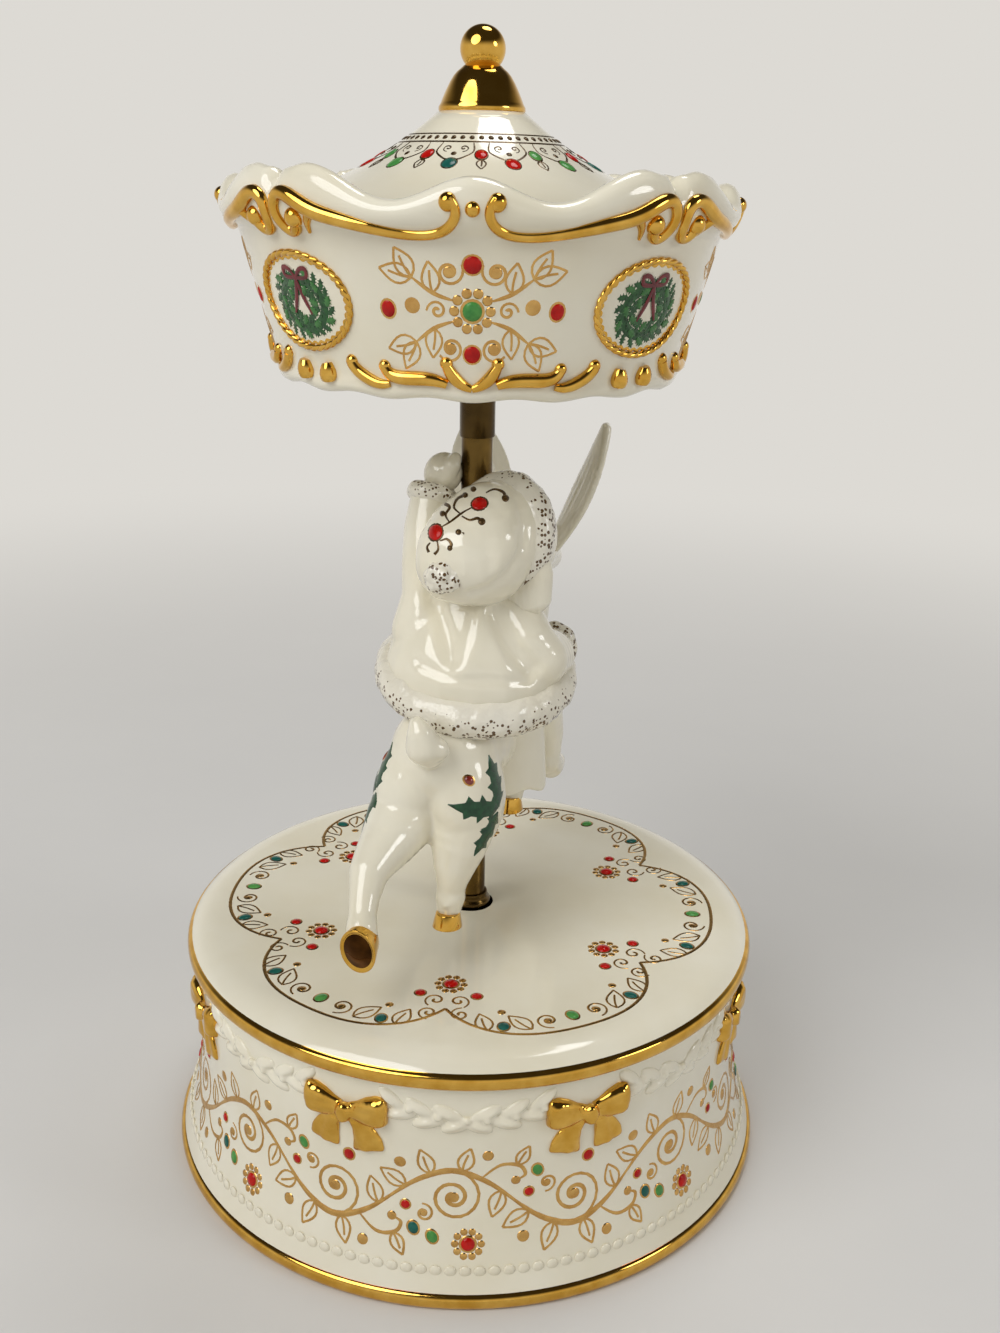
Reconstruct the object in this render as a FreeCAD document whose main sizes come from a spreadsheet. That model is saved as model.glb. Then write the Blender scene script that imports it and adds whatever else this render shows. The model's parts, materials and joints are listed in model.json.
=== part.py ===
import FreeCAD, Part
import math
import os
from types import SimpleNamespace

import Sketcher
from FreeCAD import Matrix, Placement, Rotation, Vector

# A porcelain carousel music box that stands on its foot ring. The origin is the centre of the foot, at the
# table, with +Z up along the pole. The photograph looks along +Y. Lengths are in mm, angles in degrees.

SIZES = {
    # Fits
    "running_clearance": 0.05,      # round a shaft that turns in its bore, or a tube over a tube
    "axial_clearance": 0.1,         # between faces that turn past each other
    "seat_clearance": 0.2,          # round a disc that is bedded in a recess
    # Base drum
    "foot_radius": 55.0,
    "foot_rim_height": 2.8,
    "foot_rim_bulge": 0.8,
    "neck_radius": 50.0,
    "neck_low": 24.0,               # height where the wall starts to flare towards the foot
    "drum_height": 38.8,
    "drum_bore_radius": 46.0,
    "deck_thickness": 3.6,
    "recess_radius": 48.0,
    "recess_depth": 12.0,
    "bow_count": 8,
    "bow_height": 32.0,
    "bow_half_width": 6.5,
    "bow_relief": 1.7,
    # Bottom cover and its screws
    "cover_thickness": 2.5,
    "cover_hole_radius": 7.0,
    "screw_radius": 1.2,
    "screw_head_radius": 2.3,
    "screw_head_height": 1.4,
    "screw_hole_clearance": 0.2,
    # Turntable disc
    "disc_gap": 0.4,                # open gap between the drum and the disc's edge
    "disc_radius": 51.8,
    "disc_height": 4.8,
    "disc_band_height": 2.6,
    "disc_band_bulge": 0.7,
    "disc_shoulder": 5.5,
    "disc_hollow": 1.7,
    "disc_rim_width": 6.0,
    # Bush, washer and hub under the disc
    "bush_radius": 6.0,
    "bush_flange_radius": 8.5,
    "bush_flange": 0.8,
    "washer_radius": 7.5,
    "washer_thickness": 0.4,
    "hub_flange_radius": 10.0,
    "hub_boss_radius": 4.2,
    "hub_socket_depth": 1.9,
    "shaft_radius": 2.0,
    # Pole
    "rod_radius": 1.5,
    "pole_radius": 2.6,
    "collar_width": 1.0,
    "collar_height": 2.4,
    "sleeve_wall": 0.3,
    "sleeve_low": 130.8,
    "sleeve_gap": 6.4,              # from the sleeve's upper end to the crown
    # Canopy
    "canopy_low": 141.4,
    "canopy_low_radius": 31.9,
    "canopy_eave": 166.5,
    "canopy_eave_radius": 39.0,
    "canopy_wall": 3.0,
    "canopy_turn": -1.5,            # a panel's middle, from the photograph's line of sight
    "canopy_sides": 4,
    "crown_height": 180.8,
    "crown_radius": 6.8,
    "crown_thickness": 4.4,
    "crown_washer": 0.6,
    "roof_curve": 64.0,
    "rim_mean": 169.9,
    "rim_lean": 0.75,               # corners stand this much above the mean, panel middles below
    "rim_wave": 1.4,
    "rim_foot": 3.0,                # how far the rolled rim reaches down into the wall
    "rim_width": 2.8,
    "medallion_height": 154.0,
    "medallion_half_width": 10.3,
    "medallion_half_height": 7.4,
    "medallion_frame": 1.5,
    "medallion_relief": 1.6,
    # Finial
    "finial_base_radius": 6.7,
    "finial_base_step": 0.9,
    "finial_height": 12.5,
    "finial_bell_radius": 4.3,
    "finial_bell_height": 4.0,
    "finial_bell_curve": 4.0,
    "finial_neck_radius": 2.9,
    "finial_ball_radius": 3.5,
    "finial_curve": 4.5,
    # Deer, in its own frame: heading forward, with the pole through its body
    "deer_heading": -16.5,
    "deer_body_radius": 10.5,
    "deer_rump_radius": 11.3,
    "deer_rump_back": 19.0,
    "deer_rump_height": 76.5,
    "deer_back_height": 78.5,
    "deer_chest_front": 13.0,
    "deer_chest_height": 82.0,
    "deer_neck_front": 25.0,
    "deer_head_height": 106.0,
    "deer_muzzle_front": 37.0,
    "deer_muzzle_height": 102.0,
    "deer_head_radius": 6.0,
    "deer_thigh_radius": 7.4,
    "deer_shank_radius": 2.5,
    "deer_leg_spread": 5.2,
    "hoof_radius": 2.8,
    "ear_length": 23.0,
    "ear_half_width": 5.2,
    "ear_thickness": 2.2,
    "ear_lean_right": 0.36,         # how far the tip goes outwards for each unit that it goes up
    "ear_lean_left": 0.06,
    "deer_head_aside": 2.2,         # the head turns a little to the right
    # Rider, seated behind the pole
    "rider_back": 8.4,
    "hem_radius": 14.2,
    "hem_tube": 3.3,
    "hem_height": 90.2,
    "shoulder_height": 103.0,
    "shoulder_radius": 7.6,
    "shoulder_half_width": 8.6,
    "head_height": 112.0,
    "cap_radius": 9.6,
    "sleeve_radius": 4.0,
    "mitten_radius": 3.5,
    "mitten_height": 122.5,
    "boot_radius": 3.0,
    "boot_spread": 14.4,
    "boot_height": 71.5,
    # Movement: bedplate
    "bed_gap": 2.0,                 # bosses hold the bedplate this far above the cover
    "bed_thickness": 2.0,
    "bed_low_x": -24.0,
    "bed_high_x": 41.0,
    "bed_half_width": 20.5,
    "boss_radius": 3.2,
    "boss_back_x": -19.0,
    "boss_side_y": 14.0,
    "boss_front_x": 35.5,
    # Movement: barrel, spring and winding
    "arbor_radius": 1.75,
    "arbor_bush_radius": 4.0,
    "arbor_flange_radius": 5.2,
    "arbor_flange": 0.9,
    "barrel_radius": 12.6,
    "barrel_wall": 0.8,
    "barrel_floor": 1.2,
    "barrel_depth": 6.8,
    "cap_thickness": 1.2,
    "spring_thickness": 0.4,
    "spring_turns": 8,
    "spring_end_gap": 0.25,
    "clutch_wire_radius": 0.22,
    "key_low": 2.0,
    "key_hub_radius": 3.0,
    "key_half_width": 11.0,
    "key_thickness": 1.8,
    "key_gap": 0.5,                 # key hub below the cover
    # Movement: gear train
    "great_teeth": 60,
    "pinion_teeth": 15,
    "drive_module": 0.5,
    "gear_teeth": 30,
    "governor_teeth": 10,
    "worm_wheel_teeth": 20,
    "train_module": 0.4,
    "tooth_share": 0.36,            # tooth thickness as a share of the pitch, which leaves backlash
    "great_tooth_width": 1.6,
    "pinion_width": 1.4,
    "gear_width": 1.2,
    "plate_gap": 0.6,               # side play between a wheel and the plate beside it
    "plate_thickness": 1.1,
    "plate_half_width": 4.0,
    "train_arbor_radius": 0.9,
    "cylinder_radius": 5.6,
    "cylinder_length": 12.6,
    "pin_radius": 0.22,
    "pin_height": 0.5,
    "pins_per_track": 4,
    "worm_radius": 1.6,
    "worm_arbor_radius": 0.6,
    "worm_length": 7.0,
    "fan_radius": 5.0,
    "fan_low": 28.6,
    "fan_high": 33.2,
    "fan_thickness": 0.6,
    "bridge_high": 34.8,
    "bridge_thickness": 1.0,
    # Movement: comb
    "comb_teeth": 18,
    "comb_gap": 0.12,               # between the pins' circle and the tooth tips
    "comb_tooth_length": 8.0,
    "comb_base_length": 6.0,
    "comb_thickness": 0.9,
    "comb_tooth_thickness": 0.4,
    "comb_tooth_share": 0.7,
    "comb_screw_radius": 0.8,
    "comb_screw_head_radius": 1.5,
    "comb_screw_head": 0.8,
}

doc = FreeCAD.newDocument("carousel_music_box")
sheet = doc.addObject("Spreadsheet::Sheet", "sizes")
for row, (alias, number) in enumerate(SIZES.items(), start=1):
    sheet.set(f"A{row}", alias)
    sheet.set(f"B{row}", str(number))
    sheet.setAlias(f"B{row}", alias)
doc.recompute()


class Size:
    """A size: its value now, and the expression over the sheet's cells that gives it."""

    def __init__(self, value, text):
        self.value = value
        self.text = text

    def __add__(self, other):
        other = as_size(other)
        return Size(self.value + other.value, f"({self.text} + {other.text})")

    def __sub__(self, other):
        other = as_size(other)
        return Size(self.value - other.value, f"({self.text} - {other.text})")

    def __mul__(self, other):
        other = as_size(other)
        return Size(self.value * other.value, f"({self.text} * {other.text})")

    def __truediv__(self, other):
        other = as_size(other)
        return Size(self.value / other.value, f"({self.text} / {other.text})")

    def __neg__(self):
        return Size(-self.value, f"(-{self.text})")

    def __float__(self):
        return float(self.value)

    __radd__ = __add__
    __rmul__ = __mul__


def as_size(number):
    if isinstance(number, Size):
        return number
    return Size(number, repr(number))


def root(size):
    return Size(math.sqrt(size.value), f"sqrt({size.text})")


d = SimpleNamespace(**{alias: Size(getattr(sheet, alias), f"sizes.{alias}") for alias in SIZES})
n = SimpleNamespace(**{alias: getattr(sheet, alias) for alias in SIZES})

pieces = {}


def bind(piece, **values):
    for name, value in values.items():
        piece.setExpression(name.replace("__", "."), as_size(value).text)


def place(piece, x=0, y=0, z=0):
    bind(piece, Placement__Base__x=x, Placement__Base__y=y, Placement__Base__z=z)


def keep(label, piece):
    """Enter the object as the sub-part of that name."""
    piece.Label = label
    pieces[label] = piece
    return piece


def feature(label, shape):
    piece = doc.addObject("Part::Feature", label)
    piece.Shape = shape
    piece.Placement = shape.Placement
    return keep(label, piece)


def arc_centre(start, end, radius):
    """Centre of the arc from start to end: left of the way for a positive radius, right for a negative."""
    chord = end - start
    height = math.sqrt(max(radius ** 2 - chord.Length ** 2 / 4, 0))
    left = Vector(-chord.y, chord.x, 0).normalize()
    return (start + end) / 2 + left * math.copysign(height, radius)


def turned_body(name, outline):
    """A body turned about the Z axis. The outline is a ring of (radius, height) corners, and a third value
    is the radius of the arc from that corner to the next, positive with its centre on the left."""
    body = doc.addObject("PartDesign::Body", name)
    sketch = body.newObject("Sketcher::SketchObject", f"{name}_outline")
    plane = next(item for item in body.Origin.OriginFeatures if item.Role == "XZ_Plane")
    sketch.AttachmentSupport = [(plane, "")]
    sketch.MapMode = "FlatFace"
    corners = [Vector(float(corner[0]), float(corner[1]), 0) for corner in outline]
    first_points = []
    last_points = []
    for number, corner in enumerate(outline):
        start = corners[number]
        end = corners[(number + 1) % len(corners)]
        if len(corner) == 2:
            sketch.addGeometry(Part.LineSegment(start, end))
            first, last = 1, 2
        else:
            centre = arc_centre(start, end, float(corner[2]))
            first, last = (1, 2) if float(corner[2]) > 0 else (2, 1)
            ends = (start, end) if first == 1 else (end, start)
            angles = [math.atan2(point.y - centre.y, point.x - centre.x) for point in ends]
            circle = Part.Circle(centre, Vector(0, 0, 1), abs(float(corner[2])))
            sketch.addGeometry(Part.ArcOfCircle(circle, *angles))
        first_points.append(first)
        last_points.append(last)
    for number, corner in enumerate(outline):
        following = (number + 1) % len(outline)
        sketch.addConstraint(Sketcher.Constraint("Coincident", number, last_points[number],
                                                 following, first_points[following]))
        for kind, axis, size in (("DistanceX", -2, corner[0]), ("DistanceY", -1, corner[1])):
            if float(size) == 0:
                sketch.addConstraint(Sketcher.Constraint("PointOnObject", number, first_points[number], axis))
                continue
            index = sketch.addConstraint(Sketcher.Constraint(kind, -1, 1, number, first_points[number],
                                                             float(size)))
            sketch.setExpression(f"Constraints[{index}]", as_size(size).text)
        if len(corner) == 3:
            radius = corner[2] if float(corner[2]) > 0 else -corner[2]
            index = sketch.addConstraint(Sketcher.Constraint("Radius", number, float(radius)))
            sketch.setExpression(f"Constraints[{index}]", radius.text)
    turn = body.newObject("PartDesign::Revolution", f"{name}_turn")
    turn.Profile = sketch
    turn.ReferenceAxis = (sketch, ["V_Axis"])
    turn.Angle = 360
    doc.recompute()
    return body


def turned(label, outline):
    return keep(label, turned_body(label, outline))


def ring(label, inner, outer, low, high):
    return turned(label, [(inner, low), (outer, low), (outer, high), (inner, high)])


def bulge_radius(chord, bulge):
    """Radius of the arc that stands out from its chord by the bulge."""
    return (chord * chord / 4 + bulge * bulge) / (2 * bulge)


def rod(name, radius, low, high, across=(0, 0), axis="Z"):
    """A cylinder along Z or X. Across is its place on the other two axes, in their order."""
    piece = doc.addObject("Part::Cylinder", name)
    bind(piece, Radius=radius, Height=high - low)
    if axis == "Z":
        place(piece, across[0], across[1], low)
    else:
        piece.Placement = Placement(Vector(), Rotation(Vector(0, 1, 0), 90))
        place(piece, low, across[0], across[1])
    return piece


def block(name, low, high):
    piece = doc.addObject("Part::Box", name)
    bind(piece, Length=high[0] - low[0], Width=high[1] - low[1], Height=high[2] - low[2])
    place(piece, *low)
    return piece


def fused(name, parts):
    piece = doc.addObject("Part::MultiFuse", name)
    piece.Shapes = parts
    return piece


def cut(name, base, tools):
    piece = doc.addObject("Part::Cut", name)
    piece.Base = base
    piece.Tool = tools[0] if len(tools) == 1 else fused(f"{name}_tools", tools)
    return piece


def along_x(shape, x, y, z):
    """Place a shape drawn in the XY plane so that its Z runs along X, its X along Y and its Y along Z."""
    turn = Matrix(0, 0, 1, x, 1, 0, 0, y, 0, 1, 0, z, 0, 0, 0, 1)
    moved = shape.copy()
    moved.Placement = Placement(turn)
    return moved


def spin(shape, angle):
    moved = shape.copy()
    moved.rotate(Vector(), Vector(0, 0, 1), angle)
    return moved


# Heights that several pieces share

disc_low = d.drum_height + d.disc_gap
disc_high = disc_low + d.disc_height
disc_under = disc_low + d.disc_hollow
bush_top = d.drum_height + d.bush_flange
hub_low = bush_top + d.washer_thickness + d.axial_clearance
shaft_top = hub_low + d.hub_socket_depth
crown_under = d.crown_height - d.crown_thickness
pole_top = crown_under - d.crown_washer
sleeve_high = crown_under - d.sleeve_gap
finial_top = d.crown_height + d.finial_height
finial_ball = finial_top - d.finial_ball_radius
cover_low = d.recess_depth - d.cover_thickness
bed_low = d.recess_depth + d.bed_gap
bed_high = bed_low + d.bed_thickness
barrel_low = bed_high + d.arbor_flange + d.axial_clearance
barrel_floor_high = barrel_low + d.barrel_floor
barrel_high = barrel_floor_high + d.barrel_depth
cap_high = barrel_high + d.cap_thickness
rod_top = finial_ball

# Base drum: slip-cast porcelain, closed above by a deck and open below, with a rounded foot rim

foot_inset = d.foot_radius - d.foot_rim_bulge
flare_out = foot_inset - d.neck_radius
flare_drop = d.neck_low - d.foot_rim_height
flare_radius = (flare_out * flare_out + flare_drop * flare_drop) / (2 * flare_out)
deck_low = d.drum_height - d.deck_thickness
drum = turned("base_drum", [
    (d.bush_radius, d.drum_height),
    (d.bush_radius, deck_low),
    (d.drum_bore_radius, deck_low),
    (d.drum_bore_radius, d.recess_depth),
    (d.recess_radius, d.recess_depth),
    (d.recess_radius, 0),
    (foot_inset, 0, bulge_radius(d.foot_rim_height, d.foot_rim_bulge)),
    (foot_inset, d.foot_rim_height, -flare_radius),
    (d.neck_radius, d.neck_low),
    (d.neck_radius, d.drum_height),
])

# Gilded bows: relief ornaments set round the drum's neck, flat behind where they meet the wall


def bow_shape():
    half = n.bow_half_width
    knot = 0.22 * half
    right_side = [(knot, 0.45 * knot), (0.9 * half, 0.62 * half), (half, 0.1 * half), (knot, -0.7 * knot),
                  (0.62 * half, -1.25 * half), (0.3 * half, -1.35 * half), (0, -knot)]
    left_side = [(-x, z) for x, z in reversed(right_side[:-1])]
    corners = [Vector(x, 0, z) for x, z in right_side + left_side + [(0, knot)]]
    outline = Part.makePolygon(corners + corners[:1])
    depth = n.neck_radius + n.bow_relief
    bow = Part.Face(outline).extrude(Vector(0, -depth, 0))
    bow.translate(Vector(0, 0, n.bow_height))
    outside = Part.makeCylinder(depth, n.drum_height)
    return bow.common(outside).cut(drum.Shape)


def outermost(shape):
    """The solid of the shape that lies farthest from the pole's axis."""
    return max(shape.Solids, key=lambda solid: math.hypot(solid.CenterOfMass.x, solid.CenterOfMass.y))


bow_step = 360 / n.bow_count
bow = outermost(bow_shape())
feature("gilt_bows", Part.makeCompound([spin(bow, bow_step * (number + 0.5))
                                        for number in range(int(n.bow_count))]))

# Bottom cover: a disc bedded in the recess against its ledge, with a hole for the winding arbor

boss_places = [(d.boss_back_x, d.boss_side_y), (d.boss_back_x, -d.boss_side_y), (d.boss_front_x, as_size(0))]
cover = rod("cover_disc", d.recess_radius - d.seat_clearance, cover_low, d.recess_depth)
cover_holes = [rod("cover_key_hole", d.cover_hole_radius, cover_low - 1, d.recess_depth + 1)]
for number, across in enumerate(boss_places):
    cover_holes.append(rod(f"cover_screw_hole_{number}", d.screw_radius + d.screw_hole_clearance,
                           cover_low - 1, d.recess_depth + 1, across))
keep("bottom_cover", cut("bottom_cover", cover, cover_holes))

# Movement screws: pan heads under the cover, shanks up into the bedplate's bosses

screw_parts = []
for number, across in enumerate(boss_places):
    screw_parts.append(rod(f"screw_shank_{number}", d.screw_radius, cover_low, bed_high, across))
    screw_parts.append(rod(f"screw_head_{number}", d.screw_head_radius,
                           cover_low - d.screw_head_height, cover_low, across))
keep("movement_screws", fused("movement_screws", screw_parts))

# Turntable disc: porcelain, hollow below, with a half-round gilded band and a rounded shoulder

band_radius = d.disc_radius - d.disc_band_bulge
band_high = disc_low + d.disc_band_height
shoulder_rise = disc_high - band_high
shoulder_chord = root(d.disc_shoulder * d.disc_shoulder + shoulder_rise * shoulder_rise)
rim_inner = band_radius - d.disc_rim_width
hub_hole = d.hub_boss_radius + d.running_clearance
turned("turntable_disc", [
    (hub_hole, disc_under),
    (rim_inner - d.disc_hollow, disc_under),
    (rim_inner, disc_low),
    (band_radius, disc_low, bulge_radius(d.disc_band_height, d.disc_band_bulge)),
    (band_radius, band_high, 1.6 * shoulder_chord),
    (band_radius - d.disc_shoulder, disc_high),
    (hub_hole, disc_high),
])

# Bush in the deck, washer and hub: they carry the disc and the pole, and the output shaft drives the hub

shaft_bore = d.shaft_radius + d.running_clearance
turned("deck_bush", [
    (shaft_bore, deck_low),
    (d.bush_radius, deck_low),
    (d.bush_radius, d.drum_height),
    (d.bush_flange_radius, d.drum_height),
    (d.bush_flange_radius, bush_top),
    (shaft_bore, bush_top),
])
ring("thrust_washer", shaft_bore, d.washer_radius, bush_top, bush_top + d.washer_thickness)
turned("turntable_hub", [
    (d.shaft_radius, hub_low),
    (d.hub_flange_radius, hub_low),
    (d.hub_flange_radius, disc_under),
    (d.hub_boss_radius, disc_under),
    (d.hub_boss_radius, disc_high),
    (d.rod_radius, disc_high),
    (d.rod_radius, shaft_top),
    (d.shaft_radius, shaft_top),
])
keep("output_shaft", rod("output_shaft", d.shaft_radius, barrel_high, shaft_top))

# Pole: a brass tube on a tie rod, with a collar at its foot and a sleeve under the canopy

tube_bore = d.rod_radius + d.axial_clearance
ring("pole", tube_bore, d.pole_radius, disc_high, pole_top)
keep("tie_rod", rod("tie_rod", d.rod_radius, shaft_top, rod_top))
collar_bore = d.pole_radius + d.running_clearance
collar_foot = collar_bore + d.collar_width
turned("pole_collar", [
    (collar_bore, disc_high),
    (collar_foot, disc_high),
    (collar_foot, disc_high + d.collar_height / 3),
    (collar_bore + d.collar_width / 3, disc_high + d.collar_height),
    (collar_bore, disc_high + d.collar_height),
])
sleeve_outer = collar_bore + d.sleeve_wall
ring("canopy_sleeve", collar_bore, sleeve_outer, d.sleeve_low, sleeve_high)
ring("crown_washer", tube_bore, d.crown_radius, pole_top, crown_under)

# Canopy: a flared porcelain wall under a concave roof, with a rolled rim that rises at the four corners

slope = (d.canopy_eave_radius - d.canopy_low_radius) / (d.canopy_eave - d.canopy_low)
inner_eave = d.canopy_eave - d.canopy_wall
inner_eave_radius = d.canopy_eave_radius - d.canopy_wall * (1 + slope)
canopy_shell = turned_body("canopy_shell", [
    (d.canopy_low_radius, d.canopy_low),
    (d.canopy_eave_radius, d.canopy_eave),
    (d.canopy_eave_radius - d.rim_width, d.canopy_eave, -d.roof_curve),
    (d.crown_radius, d.crown_height),
    (tube_bore, d.crown_height),
    (tube_bore, crown_under),
    (d.crown_radius, crown_under, d.roof_curve),
    (inner_eave_radius, inner_eave),
    (d.canopy_low_radius - d.canopy_wall, d.canopy_low),
])


def crest_height(turn):
    """Height of the rim at an angle from a panel's middle."""
    phase = math.radians(turn) * n.canopy_sides
    return n.rim_mean - n.rim_lean * math.cos(phase) + n.rim_wave * math.cos(2 * phase)


def wall_radius(height):
    return n.canopy_low_radius + (height - n.canopy_low) * float(slope)


def rim_section(turn):
    """The rolled rim's section, as a closed wire in the half plane at that angle from a panel's middle."""
    low = n.canopy_eave - n.rim_foot
    crest = crest_height(turn)
    roll = n.rim_width / 3
    outer = wall_radius(n.canopy_eave)
    section = [(wall_radius(low) - 0.5 * roll, low), (outer - 0.5 * roll, n.canopy_eave),
               (outer + roll, crest - 2 * roll), (outer + 0.8 * roll, crest - 0.8 * roll),
               (outer - 0.6 * roll, crest), (outer - 2 * roll, crest - roll),
               (outer - 2.4 * roll, n.canopy_eave), (outer - 2.4 * roll, low)]
    corners = [Vector(0, -radius, height) for radius, height in section]
    wire = Part.makePolygon(corners + corners[:1])
    wire.rotate(Vector(), Vector(0, 0, 1), turn + n.canopy_turn)
    return wire


panel = 360 / n.canopy_sides
rim_steps = 12
rim_side = Part.makeLoft([rim_section(panel * (step / rim_steps - 0.5)) for step in range(rim_steps + 1)],
                         True, False)
rim_sides = [spin(rim_side, panel * number) for number in range(int(n.canopy_sides))]
canopy = feature("canopy", canopy_shell.Shape.multiFuse(rim_sides))

# Medallion frames: oval relief rings on the canopy's four corners


def medallion_shape():
    """An oval ring, cut out of a skin that lies on the wall."""
    radius = wall_radius(n.medallion_height)
    sizes = (n.medallion_half_width, n.medallion_half_height)
    outer, inner = [Part.Face(Part.Wire(Part.Ellipse(Vector(), *[size - inset for size in sizes]).toShape()))
                    for inset in (0, n.medallion_frame)]
    frame = outer.cut(inner).extrude(Vector(0, 0, radius))
    frame.rotate(Vector(), Vector(1, 0, 0), 90)
    frame.translate(Vector(0, -radius / 2, n.medallion_height))
    skin = Part.makeCone(n.canopy_low_radius + n.medallion_relief, n.canopy_eave_radius + n.medallion_relief,
                         n.canopy_eave - n.canopy_low, Vector(0, 0, n.canopy_low))
    frame = spin(frame.common(skin), panel / 2 + n.canopy_turn)
    return outermost(frame.cut(canopy.Shape))


medallion = medallion_shape()
feature("medallion_frames", Part.makeCompound([spin(medallion, panel * number)
                                               for number in range(int(n.canopy_sides))]))

# Finial: gilded, screwed on the tie rod's end, with a bell foot under a ball

neck_drop = root(d.finial_ball_radius * d.finial_ball_radius - d.finial_neck_radius * d.finial_neck_radius)
turned("finial", [
    (d.rod_radius, d.crown_height),
    (d.finial_base_radius, d.crown_height),
    (d.finial_base_radius, d.crown_height + d.finial_base_step, -d.finial_curve),
    (d.finial_bell_radius, d.crown_height + d.finial_bell_height, d.finial_bell_curve),
    (d.finial_neck_radius, finial_ball - neck_drop, d.finial_ball_radius),
    (as_size(0), finial_top),
    (as_size(0), rod_top),
    (d.rod_radius, rod_top),
])

# Deer and rider: each cast in one piece. Limbs are chains of tapered capsules between joints


def capsule(start, start_radius, end, end_radius):
    """A solid with a ball at each end and a cone that is tangent to both."""
    way = end - start
    length = way.Length
    lean = math.asin((start_radius - end_radius) / length)
    low = Vector(start_radius * math.cos(lean), start_radius * math.sin(lean), 0)
    high = Vector(end_radius * math.cos(lean), length + end_radius * math.sin(lean), 0)
    bottom = Vector(0, -start_radius, 0)
    top = Vector(0, length + end_radius, 0)
    half_low = (math.pi / 2 + lean) / 2
    low_middle = Vector(start_radius * math.cos(lean - half_low), start_radius * math.sin(lean - half_low), 0)
    half_high = (math.pi / 2 - lean) / 2
    high_middle = Vector(end_radius * math.cos(lean + half_high),
                         length + end_radius * math.sin(lean + half_high), 0)
    edges = [Part.Arc(bottom, low_middle, low).toShape(), Part.LineSegment(low, high).toShape(),
             Part.Arc(high, high_middle, top).toShape(), Part.LineSegment(top, bottom).toShape()]
    solid = Part.Face(Part.Wire(edges)).revolve(Vector(), Vector(0, 1, 0), 360)
    solid.Placement = Placement(start, Rotation(Vector(0, 1, 0), way))
    return solid


def limb(joints):
    """A chain of capsules through (x, y, z, radius) joints. Each starts a little slimmer than the last ended,
    so that its ball lies inside the one before."""
    inner_share = 0.97
    chain = []
    for (x0, y0, z0, r0), (x1, y1, z1, r1) in zip(joints, joints[1:]):
        slim = 1 if not chain else inner_share
        chain.append(capsule(Vector(x0, y0, z0), slim * r0, Vector(x1, y1, z1), r1))
    return chain


def ear(base, tip):
    """A leaf-shaped ear that faces back, cut from a flat slab."""
    half = n.ear_half_width
    length = n.ear_length
    edges = [Part.Arc(Vector(0, 0, 0), Vector(half, 0, 0.45 * length), Vector(0, 0, length)).toShape(),
             Part.Arc(Vector(0, 0, length), Vector(-half, 0, 0.45 * length), Vector(0, 0, 0)).toShape()]
    leaf = Part.Face(Part.Wire(edges)).extrude(Vector(0, n.ear_thickness, 0))
    leaf.Placement = Placement(base, Rotation(Vector(0, 0, 1), tip - base))
    return leaf


def deer_shape():
    spread = n.deer_leg_spread
    thigh = n.deer_thigh_radius
    shank = n.deer_shank_radius
    rump_y = -n.deer_rump_back
    rump_z = n.deer_rump_height
    chest_y = n.deer_chest_front
    chest_z = n.deer_chest_height
    body = n.deer_body_radius
    head = n.deer_head_radius
    neck_y = n.deer_neck_front
    head_z = n.deer_head_height
    aside = n.deer_head_aside
    rump = n.deer_rump_radius
    solids = limb([(0, rump_y, rump_z, rump), (0, 0, n.deer_back_height, body),
                   (0, chest_y, chest_z, body)])
    solids += limb([(0, chest_y + 0.29 * body, chest_z + 0.29 * body, 0.8 * body),
                    (aside, neck_y, head_z - 1.2 * head, 0.95 * head)])
    solids += limb([(aside, neck_y + 0.17 * head, head_z, head),
                    (aside, n.deer_muzzle_front, n.deer_muzzle_height, 0.6 * head)])
    solids += limb([(0, rump_y - 0.66 * rump, rump_z + 0.53 * rump, 0.3 * rump),
                    (0, rump_y - 0.93 * rump, rump_z + 1.02 * rump, 0.275 * rump)])
    solids += limb([(spread, rump_y + 0.09 * rump, rump_z - 0.44 * rump, thigh),
                    (0.7 * spread, rump_y - 0.27 * rump, rump_z - 1.11 * rump, 0.57 * thigh),
                    (0.6 * spread, rump_y - 0.27 * rump, rump_z - 1.64 * rump, shank),
                    (0.6 * spread, rump_y - 0.35 * rump, rump_z - 1.95 * rump, 0.9 * shank),
                    (0.6 * spread, rump_y - 0.39 * rump, rump_z - 2.09 * rump, n.hoof_radius)])
    solids += limb([(-spread, rump_y, rump_z - 0.44 * rump, thigh),
                    (-1.15 * spread, rump_y - 0.8 * rump, rump_z - 0.97 * rump, 0.57 * thigh),
                    (-1.25 * spread, rump_y - 1.24 * rump, rump_z - 1.24 * rump, shank),
                    (-1.15 * spread, rump_y - 1.73 * rump, rump_z - 1.46 * rump, 0.9 * shank),
                    (-1.1 * spread, rump_y - 1.95 * rump, rump_z - 1.77 * rump, n.hoof_radius)])
    for side, ahead in ((1, 0), (-1, 0.29 * body)):
        solids += limb([(side * spread, chest_y, chest_z - 0.57 * body, 0.75 * thigh),
                        (1.2 * side * spread, chest_y + 0.95 * body + ahead, chest_z - 1.24 * body, 1.3 * shank),
                        (1.1 * side * spread, chest_y + 0.48 * body + ahead, chest_z - 1.9 * body, 0.9 * shank),
                        (1.1 * side * spread, chest_y + 0.29 * body + ahead, chest_z - 2.14 * body,
                         n.hoof_radius)])
    for side, lean in ((1, n.ear_lean_right), (-1, n.ear_lean_left)):
        base = Vector(aside + 0.75 * side * head, neck_y, head_z + 0.5 * head)
        solids.append(ear(base, base + Vector(side * lean, -0.12, 1)))
    return solids[0].multiFuse(solids[1:])


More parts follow.
